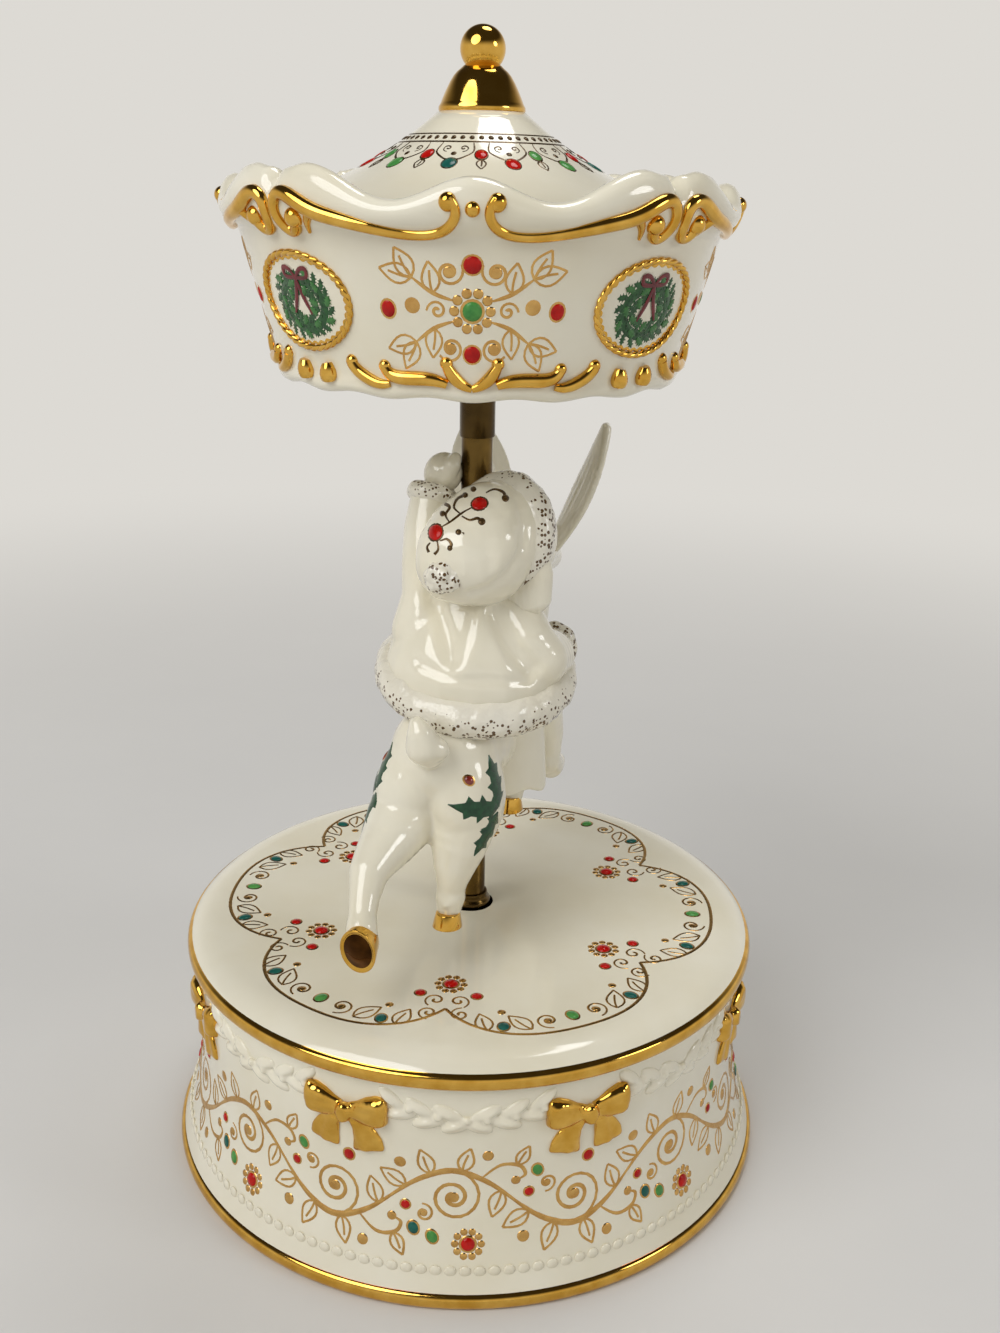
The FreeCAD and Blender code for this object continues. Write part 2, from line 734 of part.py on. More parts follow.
def rider_shape():
    back = -n.rider_back
    shoulder_z = n.shoulder_height
    side = n.shoulder_half_width
    arm = n.sleeve_radius
    hem = Part.makeTorus(n.hem_radius, n.hem_tube, Vector(0, back, n.hem_height))
    coat = Part.makeCone(n.hem_radius + 0.6 * n.hem_tube, n.shoulder_radius, shoulder_z - n.hem_height,
                         Vector(0, back, n.hem_height))
    solids = [hem, coat]
    cap = n.cap_radius
    solids += limb([(-side, back, shoulder_z - 0.25 * arm, 1.3 * arm),
                    (side, back, shoulder_z - 0.25 * arm, 1.28 * arm)])
    solids += limb([(0, back, shoulder_z, n.shoulder_radius), (0.16 * cap, back, n.head_height, cap),
                    (0.52 * cap, back + 0.1 * cap, n.head_height + 0.68 * cap, 0.8 * cap)])
    solids += limb([(0.1 * cap, back - 0.31 * cap, n.head_height + 0.31 * cap, 0.75 * cap),
                    (-0.52 * cap, back - 1.04 * cap, n.head_height + 0.16 * cap, 0.375 * cap),
                    (-0.54 * cap, back - 1.4 * cap, n.head_height - 0.16 * cap, 0.29 * cap)])
    grip = n.pole_radius + 0.6 * n.mitten_radius
    solids += limb([(-side - 0.25 * arm, back, shoulder_z, 1.2 * arm),
                    (-side - 0.8 * arm, back + 0.75 * arm, shoulder_z + 1.5 * arm, arm),
                    (-side - 0.125 * arm, back + 1.75 * arm, n.mitten_height - arm, 0.9 * arm),
                    (-grip, -0.125 * arm, n.mitten_height, n.mitten_radius)])
    solids += limb([(side + 0.25 * arm, back, shoulder_z - 0.25 * arm, 1.2 * arm),
                    (side + 1.25 * arm, back + arm, shoulder_z - 1.75 * arm, arm),
                    (side + 0.75 * arm, back + 3 * arm, shoulder_z - 2.25 * arm, 0.9 * arm)])
    boot = n.boot_radius
    foot_z = n.boot_height
    knee_z = n.hem_height - n.hem_tube
    for aside in (n.boot_spread, -n.boot_spread):
        leg = limb([(0.67 * aside, 0, knee_z, 1.65 * boot), (0.9 * aside, boot, 0.7 * knee_z + 0.3 * foot_z, 1.45 * boot),
                    (aside, 1.5 * boot, 0.3 * knee_z + 0.7 * foot_z, 1.15 * boot), (aside, 1.7 * boot, foot_z, boot)])
        leg += limb([(aside, 1.7 * boot, foot_z - 0.3 * boot, boot), (aside, 3.4 * boot, foot_z - boot, 0.8 * boot)])
        solids += [spin(solid, n.deer_heading) for solid in leg]
    return solids[0].multiFuse(solids[1:])


deer_raw = spin(deer_shape(), n.deer_heading)
pole_bore = Part.makeCylinder(n.pole_radius + n.running_clearance, n.crown_height)
sleeve_bore = Part.makeCylinder(float(sleeve_outer) + n.running_clearance, n.crown_height,
                                Vector(0, 0, n.sleeve_low - n.running_clearance))
shaft_way = pole_bore.fuse(sleeve_bore)
feature("deer_figure", deer_raw.cut(shaft_way))
rider_raw = rider_shape().cut(shaft_way)
feature("rider_figure", max(rider_raw.cut(deer_raw).Solids, key=lambda solid: solid.Volume))

# Bedplate: a flat casting on three bosses, with a hole for the arbor bush

bed_plate = block("bed_plate", (d.bed_low_x, -d.bed_half_width, bed_low),
                  (d.bed_high_x, d.bed_half_width, bed_high))
bed_bosses = []
bed_holes = [rod("bed_bush_hole", d.arbor_bush_radius, bed_low - 1, bed_high + 1)]
for number, across in enumerate(boss_places):
    bed_bosses.append(rod(f"bed_boss_{number}", d.boss_radius, d.recess_depth, bed_high, across))
    bed_holes.append(rod(f"bed_screw_hole_{number}", d.screw_radius, d.recess_depth - 1, bed_high + 1, across))
keep("bedplate", cut("bedplate", fused("bed_casting", [bed_plate] + bed_bosses), bed_holes))

# Arbor bush: brass, pressed in the bedplate, with a flange that the barrel turns on

arbor_bore = d.arbor_radius + d.running_clearance
turned("arbor_bush", [
    (arbor_bore, bed_low),
    (d.arbor_bush_radius, bed_low),
    (d.arbor_bush_radius, bed_high),
    (d.arbor_flange_radius, bed_high),
    (d.arbor_flange_radius, bed_high + d.arbor_flange),
    (arbor_bore, bed_high + d.arbor_flange),
])

# Spring barrel, cap and mainspring: the barrel turns on the arbor and drives the output shaft

barrel_inner = d.barrel_radius - d.barrel_wall
turned("spring_barrel", [
    (arbor_bore, barrel_low),
    (d.barrel_radius, barrel_low),
    (d.barrel_radius, barrel_high),
    (barrel_inner, barrel_high),
    (barrel_inner, barrel_floor_high),
    (arbor_bore, barrel_floor_high),
])
turned("barrel_cap", [
    (d.shaft_radius, barrel_high),
    (d.barrel_radius, barrel_high),
    (d.barrel_radius, cap_high),
    (2 * d.shaft_radius, cap_high),
    (2 * d.shaft_radius, cap_high + d.cap_thickness),
    (d.shaft_radius, cap_high + d.cap_thickness),
])


def spring_shape():
    """A flat strip wound in half circles whose centres alternate, so that each turn grows by one pitch."""
    inner = n.arbor_radius + n.spring_end_gap
    outer = float(barrel_inner) - n.spring_end_gap - n.spring_thickness
    turns = int(n.spring_turns)
    shift = (outer - inner) / (4 * turns)
    floor = float(barrel_floor_high) + n.axial_clearance
    depth = n.barrel_depth - 2 * n.axial_clearance
    strips = []
    for half in range(2 * turns):
        side = 1 if half % 2 == 0 else -1
        centre = Vector(0, side * shift, floor)
        radius = inner + shift + 2 * shift * half
        start = -90 if side > 0 else 90
        rings = [Part.makeCylinder(size, depth, centre, Vector(0, 0, 1), 180)
                 for size in (radius + n.spring_thickness, radius)]
        for solid in rings:
            solid.rotate(centre, Vector(0, 0, 1), start)
        strips.append(rings[0].cut(rings[1]))
    spring = strips[0].multiFuse(strips[1:])
    spring.rotate(Vector(), Vector(0, 0, 1), 90)
    return spring


feature("mainspring", spring_shape())
keep("winding_arbor", rod("winding_arbor", d.arbor_radius, d.key_low + d.axial_clearance,
                          barrel_high - d.axial_clearance))

# Winding key: a hub with two flat wings, under the cover in the drum's recess

key_high = cover_low - d.key_gap
key_hub = rod("key_hub", d.key_hub_radius, d.key_low, key_high)
key_bar = block("key_bar", (-d.key_half_width + d.key_hub_radius, -d.key_thickness / 2, d.key_low),
                (d.key_half_width - d.key_hub_radius, d.key_thickness / 2, key_high - d.key_gap))
wing_radius = (key_high - d.key_gap - d.key_low) / 2
key_wings = []
for number, side in enumerate((-1, 1)):
    wing = doc.addObject("Part::Cylinder", f"key_wing_{number}")
    bind(wing, Radius=wing_radius, Height=d.key_thickness)
    wing.Placement = Placement(Vector(), Rotation(Vector(1, 0, 0), 90))
    place(wing, side * (d.key_half_width - wing_radius), d.key_thickness / 2, d.key_low + wing_radius)
    key_wings.append(wing)
key_bore = rod("key_bore", d.arbor_radius, d.key_low + d.axial_clearance, key_high + 1)
keep("winding_key", cut("winding_key", fused("key_blank", [key_hub, key_bar] + key_wings), [key_bore]))

# Clutch spring: a wire wound round the arbor under the bedplate, which lets it turn one way


def clutch_shape():
    wire = n.clutch_wire_radius
    radius = n.arbor_radius + n.axial_clearance + wire
    pitch = 2.2 * wire
    height = n.bed_gap - 2 * wire - 2 * n.axial_clearance
    path = Part.makeHelix(pitch, height, radius)
    section = Part.Wire(Part.Circle(Vector(radius, 0, 0), Vector(0, 1, 0), wire).toShape())
    coil = Part.Wire(path).makePipeShell([section], True, True)
    coil.translate(Vector(0, 0, n.recess_depth + wire + n.axial_clearance))
    return coil


feature("clutch_spring", clutch_shape())

# Great wheel: a ring on the barrel with teeth that stand up, in mesh with the cylinder's pinion

great_radius = n.great_teeth * n.drive_module / 2
pinion_radius = n.pinion_teeth * n.drive_module / 2
drive_pitch = math.pi * n.drive_module
addendum = 0.8
dedendum = 1.2
flank = math.tan(math.radians(20))
great_root = float(barrel_floor_high)
pitch_plane = great_root + dedendum * n.drive_module
train_z = pitch_plane + pinion_radius


def great_wheel_shape():
    inner = great_radius - n.great_tooth_width / 2
    outer = great_radius + n.great_tooth_width / 2
    sunk = 0.1
    tip = pitch_plane + addendum * n.drive_module
    wheel = Part.makeCylinder(outer + n.drive_module, great_root - float(barrel_low),
                              Vector(0, 0, float(barrel_low)))
    wheel = wheel.cut(Part.makeCylinder(n.barrel_radius, n.drum_height))

    def end(radius):
        half = n.tooth_share * drive_pitch / 2 * radius / great_radius
        heights = (great_root - sunk, tip)
        low, high = [half + (pitch_plane - height) * flank for height in heights]
        corners = [Vector(radius, -low, heights[0]), Vector(radius, low, heights[0]),
                   Vector(radius, high, heights[1]), Vector(radius, -high, heights[1])]
        return Part.makePolygon(corners + corners[:1])

    tooth = Part.makeLoft([end(inner), end(outer)], True, True)
    step = 360 / n.great_teeth
    return wheel.multiFuse([spin(tooth, step * (number + 0.5)) for number in range(int(n.great_teeth))])


feature("great_wheel", great_wheel_shape())

# Gear train: wheels on arbors along X beside the barrel


def wheel_shape(teeth, module, width, bore, first, x, y):
    """A straight-toothed wheel about an axis along X, its first tooth at that angle from +Y towards +Z."""
    pitch_radius = teeth * module / 2
    corners = []
    for number in range(int(teeth)):
        middle = math.radians(first) + 2 * math.pi * number / teeth
        for radius, side in ((pitch_radius - dedendum * module, -1), (pitch_radius + addendum * module, -1),
                             (pitch_radius + addendum * module, 1), (pitch_radius - dedendum * module, 1)):
            half = n.tooth_share * math.pi * module / 2 + (pitch_radius - radius) * flank
            turn = middle + side * half / radius
            corners.append(Vector(radius * math.cos(turn), radius * math.sin(turn), 0))
    wheel = Part.Face(Part.makePolygon(corners + corners[:1])).extrude(Vector(0, 0, width))
    wheel = wheel.cut(Part.makeCylinder(bore, width))
    return along_x(wheel, x, y, train_z)


pinion_x = great_radius - n.pinion_width / 2
inner_plate_x = great_radius + n.great_tooth_width / 2 + n.drive_module + n.plate_gap
cylinder_x = inner_plate_x + n.plate_thickness + n.plate_gap
cylinder_end = cylinder_x + n.cylinder_length
upright_x = cylinder_end + n.plate_gap
worm_wheel_x = upright_x + n.plate_thickness + n.plate_gap
governor_x = worm_wheel_x + n.gear_width + 2 * n.plate_gap + n.train_module
outer_plate_x = governor_x + n.gear_width + n.plate_gap
train_end = outer_plate_x + n.plate_thickness
governor_y = -(n.gear_teeth + n.governor_teeth) * n.train_module / 2
bed_top = float(bed_high)
arbor = n.train_arbor_radius


def plate_shape(x, low_y, high_y, holes):
    """An upright bearing plate on the bedplate, bored for the arbors at those places across."""
    top = train_z + n.plate_half_width
    plate = Part.makeBox(n.plate_thickness, high_y - low_y, top - bed_top, Vector(x, low_y, bed_top))
    for y in holes:
        plate = plate.cut(Part.makeCylinder(arbor + n.running_clearance, n.plate_thickness,
                                            Vector(x, y, train_z), Vector(1, 0, 0)))
    return plate


feature("inner_plate", plate_shape(inner_plate_x, -n.plate_half_width, n.plate_half_width, [0]))
feature("governor_upright", plate_shape(upright_x, governor_y - n.plate_half_width / 2,
                                        governor_y + n.plate_half_width / 2, [governor_y]))
feature("outer_plate", plate_shape(outer_plate_x, governor_y - n.plate_half_width, n.plate_half_width,
                                   [0, governor_y]))


def arbor_shape(low, high, y):
    return Part.makeCylinder(arbor, high - low, Vector(low, y, train_z), Vector(1, 0, 0))


feature("cylinder_arbor", arbor_shape(pinion_x, train_end, 0))
feature("cylinder_pinion", wheel_shape(n.pinion_teeth, n.drive_module, n.pinion_width, arbor, -90, pinion_x, 0))
feature("cylinder_gear", wheel_shape(n.gear_teeth, n.train_module, n.gear_width, arbor, 180, governor_x, 0))
feature("governor_arbor", arbor_shape(upright_x, train_end, governor_y))
half_governor_tooth = 180 / n.governor_teeth
feature("governor_pinion", wheel_shape(n.governor_teeth, n.train_module, n.gear_width, arbor,
                                       half_governor_tooth, governor_x, governor_y))
half_worm_tooth = 180 / n.worm_wheel_teeth
feature("worm_wheel", wheel_shape(n.worm_wheel_teeth, n.train_module, n.gear_width, arbor,
                                  180 + half_worm_tooth, worm_wheel_x, governor_y))

# Tune cylinder: a brass sleeve on its arbor, with a row of pins for each tooth of the comb

track_pitch = n.cylinder_length / n.comb_teeth


def cylinder_shape():
    sleeve = Part.makeCylinder(n.cylinder_radius, n.cylinder_length, Vector(cylinder_x, 0, train_z),
                               Vector(1, 0, 0))
    golden_angle = 137.5
    pins = []
    for track in range(int(n.comb_teeth)):
        x = cylinder_x + track_pitch * (track + 0.5)
        for number in range(int(n.pins_per_track)):
            turn = math.radians(golden_angle * track + 360 * number / n.pins_per_track)
            out = Vector(0, math.cos(turn), math.sin(turn))
            foot = Vector(x, 0, train_z) + out * (n.cylinder_radius - n.pin_height)
            pins.append(Part.makeCylinder(n.pin_radius, 2 * n.pin_height, foot, out))
    bore = Part.makeCylinder(arbor, n.cylinder_length, Vector(cylinder_x, 0, train_z), Vector(1, 0, 0))
    return sleeve.multiFuse(pins).cut(bore)


feature("tune_cylinder", cylinder_shape())

# Comb: a steel plate on a block, with one tooth for each row of pins, its tips just clear of the pins

comb_tip = n.cylinder_radius + n.pin_height + n.comb_gap
comb_root = comb_tip + n.comb_tooth_length
comb_back = comb_root + n.comb_base_length
comb_top = train_z + n.comb_thickness / 2
comb_low = train_z - n.comb_thickness / 2
comb_screw_y = comb_root + n.comb_base_length / 2
comb_screw_inset = 2 * n.comb_screw_head_radius
comb_screw_xs = (cylinder_x + comb_screw_inset, cylinder_end - comb_screw_inset)


def comb_shape():
    comb = Part.makeBox(n.cylinder_length, n.comb_base_length, n.comb_thickness,
                        Vector(cylinder_x, comb_root, comb_low))
    tooth_width = n.comb_tooth_share * track_pitch
    overlap = 0.2
    teeth = []
    for track in range(int(n.comb_teeth)):
        x = cylinder_x + track_pitch * (track + 0.5) - tooth_width / 2
        teeth.append(Part.makeBox(tooth_width, n.comb_tooth_length + overlap, n.comb_tooth_thickness,
                                  Vector(x, comb_tip, train_z - n.comb_tooth_thickness / 2)))
    comb = comb.multiFuse(teeth)
    for x in comb_screw_xs:
        comb = comb.cut(Part.makeCylinder(n.comb_screw_radius, n.comb_thickness,
                                          Vector(x, comb_screw_y, comb_low)))
    return comb


def comb_block_shape():
    body = Part.makeBox(n.cylinder_length, n.comb_base_length, comb_low - bed_top,
                        Vector(cylinder_x, comb_root, bed_top))
    for x in comb_screw_xs:
        body = body.cut(Part.makeCylinder(n.comb_screw_radius, comb_low - bed_top,
                                          Vector(x, comb_screw_y, bed_top)))
    return body


def comb_screws_shape():
    screws = []
    for x in comb_screw_xs:
        shank = Part.makeCylinder(n.comb_screw_radius, comb_top - bed_top, Vector(x, comb_screw_y, bed_top))
        head = Part.makeCylinder(n.comb_screw_head_radius, n.comb_screw_head, Vector(x, comb_screw_y, comb_top))
        screws.append(shank.fuse(head))
    return Part.makeCompound(screws)


feature("comb", comb_shape())
feature("comb_block", comb_block_shape())
feature("comb_screws", comb_screws_shape())

# Governor: an upright worm driven by its wheel, with a two-bladed fan, under a bridge

worm_x = worm_wheel_x + n.gear_width / 2
worm_y = governor_y - n.worm_wheel_teeth * n.train_module / 2 - n.worm_radius
lead = math.pi * n.train_module
worm_top = n.bridge_high - n.axial_clearance
footstep_high = bed_top + n.plate_thickness
footstep_radius = 2 * n.worm_radius


def worm_shape():
    """A one-start right-handed thread, whose middle faces the wheel at the height of the wheel's axis."""
    core_radius = n.worm_radius - dedendum * n.train_module
    tip_radius = n.worm_radius + addendum * n.train_module
    half = n.tooth_share * lead / 2
    sunk = 0.15
    corners = []
    for radius, side in ((core_radius - sunk, -1), (tip_radius, -1), (tip_radius, 1), (core_radius - sunk, 1)):
        corners.append(Vector(radius, 0, side * (half + (n.worm_radius - radius) * flank)))
    section = Part.makePolygon(corners + corners[:1])
    path = Part.Wire(Part.makeHelix(lead, n.worm_length - lead, n.worm_radius))
    thread = path.makePipeShell([section], True, True)
    turns_below = math.floor((n.worm_length - lead) / lead / 2)
    thread.rotate(Vector(), Vector(0, 0, 1), 90)
    thread.translate(Vector(0, 0, -turns_below * lead))
    core = Part.makeCylinder(core_radius, n.worm_length, Vector(0, 0, -n.worm_length / 2))
    pivot_low = bed_top + n.axial_clearance - train_z
    pivot = Part.makeCylinder(n.worm_arbor_radius, worm_top - bed_top - n.axial_clearance,
                              Vector(0, 0, pivot_low))
    worm = core.multiFuse([thread, pivot])
    worm.translate(Vector(worm_x, worm_y, train_z))
    return worm


def fan_shape():
    height = n.fan_high - n.fan_low
    hub = Part.makeCylinder(2 * n.worm_arbor_radius, height)
    blades = Part.makeBox(2 * n.fan_radius, n.fan_thickness, height,
                          Vector(-n.fan_radius, -n.fan_thickness / 2, 0))
    fan = hub.fuse(blades).cut(Part.makeCylinder(n.worm_arbor_radius, height))
    fan.translate(Vector(worm_x, worm_y, n.fan_low))
    return fan


def bridge_shape():
    """A post beside the fan with an arm over it, and the footstep that the worm's lower pivot turns in."""
    half = n.plate_half_width / 2
    post_y = worm_y - n.fan_radius - n.plate_gap - n.plate_half_width / 2
    post = Part.makeBox(2 * half, n.plate_half_width / 2, n.bridge_high - bed_top,
                        Vector(worm_x - half, post_y, bed_top))
    arm = Part.makeBox(2 * half, worm_y + half - post_y, n.bridge_thickness,
                       Vector(worm_x - half, post_y, n.bridge_high - n.bridge_thickness))
    foot = Part.makeBox(2 * half, worm_y + half - post_y, footstep_high - bed_top,
                        Vector(worm_x - half, post_y, bed_top))
    bore = Part.makeCylinder(n.worm_arbor_radius + n.running_clearance, n.bridge_high,
                             Vector(worm_x, worm_y, 0))
    return post.multiFuse([arm, foot]).cut(bore)


feature("worm", worm_shape())
feature("fan", fan_shape())
feature("governor_bridge", bridge_shape())

# Every object is checked, then each sub-part is written to its own file

doc.recompute()
for item in doc.Objects:
    if "Invalid" in item.State or "Error" in item.State:
        raise RuntimeError(f"{item.Label} failed: {item.State}")
for label, piece in pieces.items():
    if piece.Shape.isNull() or not piece.Shape.isValid():
        raise RuntimeError(f"{label} has no valid shape")
os.makedirs("parts", exist_ok=True)
for label, piece in pieces.items():
    piece.Shape.exportStep(f"parts/{label}.step")
print(len(pieces), "sub-parts")
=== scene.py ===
import json
import math
import bpy
from mathutils import Matrix, Vector, noise

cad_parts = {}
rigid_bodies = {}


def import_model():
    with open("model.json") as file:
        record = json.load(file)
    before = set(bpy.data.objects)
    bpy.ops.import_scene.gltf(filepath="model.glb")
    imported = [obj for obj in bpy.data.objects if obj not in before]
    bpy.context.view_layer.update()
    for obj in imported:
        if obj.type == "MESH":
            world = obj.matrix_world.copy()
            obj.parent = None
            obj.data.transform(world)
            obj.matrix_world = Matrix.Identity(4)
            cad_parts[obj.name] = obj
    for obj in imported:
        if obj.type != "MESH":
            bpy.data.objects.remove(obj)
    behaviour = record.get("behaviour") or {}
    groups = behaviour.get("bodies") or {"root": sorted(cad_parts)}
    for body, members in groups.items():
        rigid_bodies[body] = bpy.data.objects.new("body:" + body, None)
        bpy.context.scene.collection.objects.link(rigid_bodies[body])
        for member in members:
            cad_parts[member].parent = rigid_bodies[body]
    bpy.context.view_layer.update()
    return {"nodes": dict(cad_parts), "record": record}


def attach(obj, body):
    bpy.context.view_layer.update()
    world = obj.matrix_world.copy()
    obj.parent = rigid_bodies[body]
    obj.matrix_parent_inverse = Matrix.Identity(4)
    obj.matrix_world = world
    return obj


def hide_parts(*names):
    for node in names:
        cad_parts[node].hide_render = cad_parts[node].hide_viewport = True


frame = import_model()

# Clockwork movement: a cast bedplate with a spring barrel, steel plates and arbors, a pinned brass
# cylinder and a comb. It is screwed up under the drum's deck, and a dark moulded cover closes the hollow
# below it.

mm = 0.001


def paint(red, green, blue):
    """A colour from the 0 to 255 values that it has on a colour card."""
    shares = [value / 255 for value in (red, green, blue)]
    return tuple(s / 12.92 if s < 0.04 else ((s + 0.055) / 1.055) ** 2.4 for s in shares) + (1.0,)


def add_node(tree, kind, values=None, **settings):
    """A new node with its settings by name and the values of its inputs."""
    node = tree.nodes.new(kind)
    for word, setting in settings.items():
        setattr(node, word, setting)
    for socket, value in (values or {}).items():
        node.inputs[socket].default_value = value
    return node


def wire(source, output, target, socket):
    """Runs a link from one node's output to another node's input."""
    source.id_data.links.new(source.outputs[output], target.inputs[socket])


def mottle_group():
    """Clouds two tones of one finish into each other, as a hand-sprayed coat has them."""
    group = bpy.data.node_groups.new("mottle", "ShaderNodeTree")
    for word, kind in (("Colour", "Color"), ("Second colour", "Color"), ("Grain", "Float")):
        group.interface.new_socket(word, in_out="INPUT", socket_type="NodeSocket" + kind)
    for word, kind in (("Colour", "Color"), ("Mask", "Float")):
        group.interface.new_socket(word, in_out="OUTPUT", socket_type="NodeSocket" + kind)
    entry = add_node(group, "NodeGroupInput")
    leave = add_node(group, "NodeGroupOutput")
    place = add_node(group, "ShaderNodeTexCoord")
    cloud = add_node(group, "ShaderNodeTexNoise", {"Detail": 5})
    spread = add_node(group, "ShaderNodeMapRange", {"From Min": 0.32, "From Max": 0.68})
    blend = add_node(group, "ShaderNodeMix", data_type="RGBA")
    wire(place, "Object", cloud, "Vector")
    wire(entry, "Grain", cloud, "Scale")
    wire(cloud, "Fac", spread, "Value")
    wire(spread, "Result", blend, 0)
    wire(entry, "Colour", blend, 6)
    wire(entry, "Second colour", blend, 7)
    wire(blend, 2, leave, "Colour")
    wire(spread, "Result", leave, "Mask")
    return group


mottle = mottle_group()


def finish(name, main, second, grain, smooth, rough, metal=0.0, coat=0.0, dents=0.0, dent_grain=300.0,
           stretch=(1, 1, 1)):
    """A surface finish in two tones of a colour card. Grain and dents are counted per metre, and dents is
    their depth in millimetres."""
    material = bpy.data.materials.new(name)
    material.use_nodes = True
    tree = material.node_tree
    shader = tree.nodes["Principled BSDF"]
    shader.inputs["Metallic"].default_value = metal
    shader.inputs["Coat Weight"].default_value = coat
    shader.inputs["Coat Roughness"].default_value = 0.04
    tones = {"Colour": paint(*main), "Second colour": paint(*second), "Grain": grain}
    tone = add_node(tree, "ShaderNodeGroup", tones, node_tree=mottle)
    polish = add_node(tree, "ShaderNodeMapRange", {"To Min": smooth, "To Max": rough})
    place = add_node(tree, "ShaderNodeTexCoord")
    turn = add_node(tree, "ShaderNodeMapping", {"Scale": stretch})
    grit = add_node(tree, "ShaderNodeTexNoise", {"Scale": dent_grain})
    bumps = add_node(tree, "ShaderNodeBump", {"Distance": dents * mm})
    wire(tone, "Colour", shader, "Base Color")
    wire(tone, "Mask", polish, "Value")
    wire(polish, "Result", shader, "Roughness")
    wire(place, "Object", turn, "Vector")
    wire(turn, "Vector", grit, "Vector")
    wire(grit, "Fac", bumps, "Height")
    wire(bumps, "Normal", shader, "Normal")
    return material


steel = finish("drawn_steel", (176, 178, 182), (138, 140, 146), 900, 0.22, 0.42, metal=1, dents=0.02,
               dent_grain=2500, stretch=(1, 1, 12))
brass = finish("milled_brass", (205, 165, 88), (168, 128, 58), 700, 0.18, 0.36, metal=1, dents=0.02,
               dent_grain=2000, stretch=(1, 1, 10))
casting = finish("grey_casting", (168, 169, 172), (140, 141, 145), 500, 0.45, 0.65, metal=1, dents=0.12,
                 dent_grain=900)
dark_plastic = finish("dark_moulding", (36, 35, 34), (28, 27, 27), 600, 0.42, 0.6, dents=0.08,
                      dent_grain=1500)
rubber = finish("black_rubber", (30, 30, 30), (40, 39, 38), 400, 0.7, 0.85, dents=0.05, dent_grain=1200)
plain_finishes = {"steel": steel, "brass": brass, "casting": casting, "dark_plastic": dark_plastic,
                  "rubber": rubber}
for part in frame["record"]["subparts"]:
    if part["material_slot"] in plain_finishes:
        node = frame["nodes"][part["node"]]
        node.data.materials.clear()
        node.data.materials.append(plain_finishes[part["material_slot"]])

# Base drum: a slip-cast porcelain drum with a flared foot, glazed ivory. The rounded foot rim is gilded,
# and a string of moulded pearls runs just above it.

neck_radius, neck_low, drum_top = 50.0, 24.0, 38.8
foot_radius, rim_height, foot_inset = 55.0, 2.8, 54.2
flare_out, flare_drop = foot_inset - neck_radius, neck_low - rim_height
flare_radius = (flare_out ** 2 + flare_drop ** 2) / (2 * flare_out)
ivory = finish("ivory_glaze", (241, 236, 218), (234, 227, 204), 60, 0.07, 0.15, coat=0.5, dents=0.05,
               dent_grain=110)
gilding = finish("burnished_gilding", (230, 184, 90), (208, 158, 62), 350, 0.05, 0.12, metal=1, dents=0.03,
                 dent_grain=260)


def turned(name, outline, sides=144, crease=35):
    """A turned piece: a ring at the outline's first radius and height, drawn on from point to point."""
    radius, height = outline[0]
    bpy.ops.mesh.primitive_circle_add(vertices=sides, radius=radius * mm, location=(0, 0, height * mm))
    bpy.ops.object.transform_apply(location=True)
    piece = bpy.context.object
    piece.name = name
    bpy.ops.object.mode_set(mode="EDIT")
    bpy.ops.mesh.select_all(action="SELECT")
    for next_radius, next_height in outline[1:]:
        rise = (0, 0, (next_height - height) * mm)
        bpy.ops.mesh.extrude_edges_move(TRANSFORM_OT_translate={"value": rise})
        grow = next_radius / radius
        bpy.ops.transform.resize(value=(grow, grow, 1), center_override=(0, 0, next_height * mm))
        radius, height = next_radius, next_height
    close_up()
    bpy.ops.object.shade_smooth_by_angle(angle=math.radians(crease))
    return piece


def close_up():
    """Merges doubles, closes open ends and turns the faces outwards."""
    bpy.ops.mesh.select_all(action="SELECT")
    bpy.ops.mesh.remove_doubles(threshold=0.002 * mm)
    bpy.ops.mesh.select_all(action="DESELECT")
    bpy.ops.mesh.select_non_manifold(extend=False)
    bpy.ops.mesh.fill_holes(sides=0)
    bpy.ops.mesh.select_all(action="SELECT")
    bpy.ops.mesh.normals_make_consistent(inside=False)
    bpy.ops.object.mode_set(mode="OBJECT")


def mount(piece, body, slot, finishes, *nodes):
    """Gives a piece its finishes and the body that carries it, and hides the solids that it stands
    for. The slot is not used."""
    for one in finishes:
        piece.data.materials.append(one)
    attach(piece, body)
    if nodes:
        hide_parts(*nodes)


def gild(piece, chosen):
    """Gilds the faces whose centre (radius and height, in mm) is chosen."""
    for face in piece.data.polygons:
        centre = face.center / mm
        if chosen(math.hypot(centre.x, centre.y), centre.z):
            face.material_index = 1


def drum_radius(height):
    """Radius of the drum's wall: straight above, flared out to the foot below."""
    if height >= neck_low:
        return neck_radius
    return neck_radius + flare_radius - math.sqrt(flare_radius ** 2 - (neck_low - height) ** 2)


def bead(radius, low, high, bulge, steps=8):
    """Points of a half-round bead that stands out from a radius."""
    middle, half = (low + high) / 2, (high - low) / 2
    turns = [math.pi * (step / steps - 0.5) for step in range(steps + 1)]
    return [(radius + bulge * math.cos(turn), middle + half * math.sin(turn)) for turn in turns]


flare_steps = 14
flare_heights = [rim_height + flare_drop * step / flare_steps for step in range(flare_steps + 1)]
drum_outline = [(48.0, 12.0), (48.0, 0.5), (48.5, 0.0)]
drum_outline += bead(foot_inset - 0.2, 0.0, rim_height, foot_radius - foot_inset + 0.2)
drum_outline += [(drum_radius(height), height) for height in flare_heights]
drum_outline += [(neck_radius, 31.0), (neck_radius, 38.0), (49.9, 38.5), (49.5, drum_top), (8.6, drum_top),
                 (8.6, 35.2), (46.0, 35.2), (46.0, 12.0), (48.0, 12.0)]
drum = turned("base_drum_glazed", drum_outline)
mount(drum, "base", "porcelain", (ivory, gilding), "base_drum")
gild(drum, lambda radius, height: radius > 53 and height < rim_height)

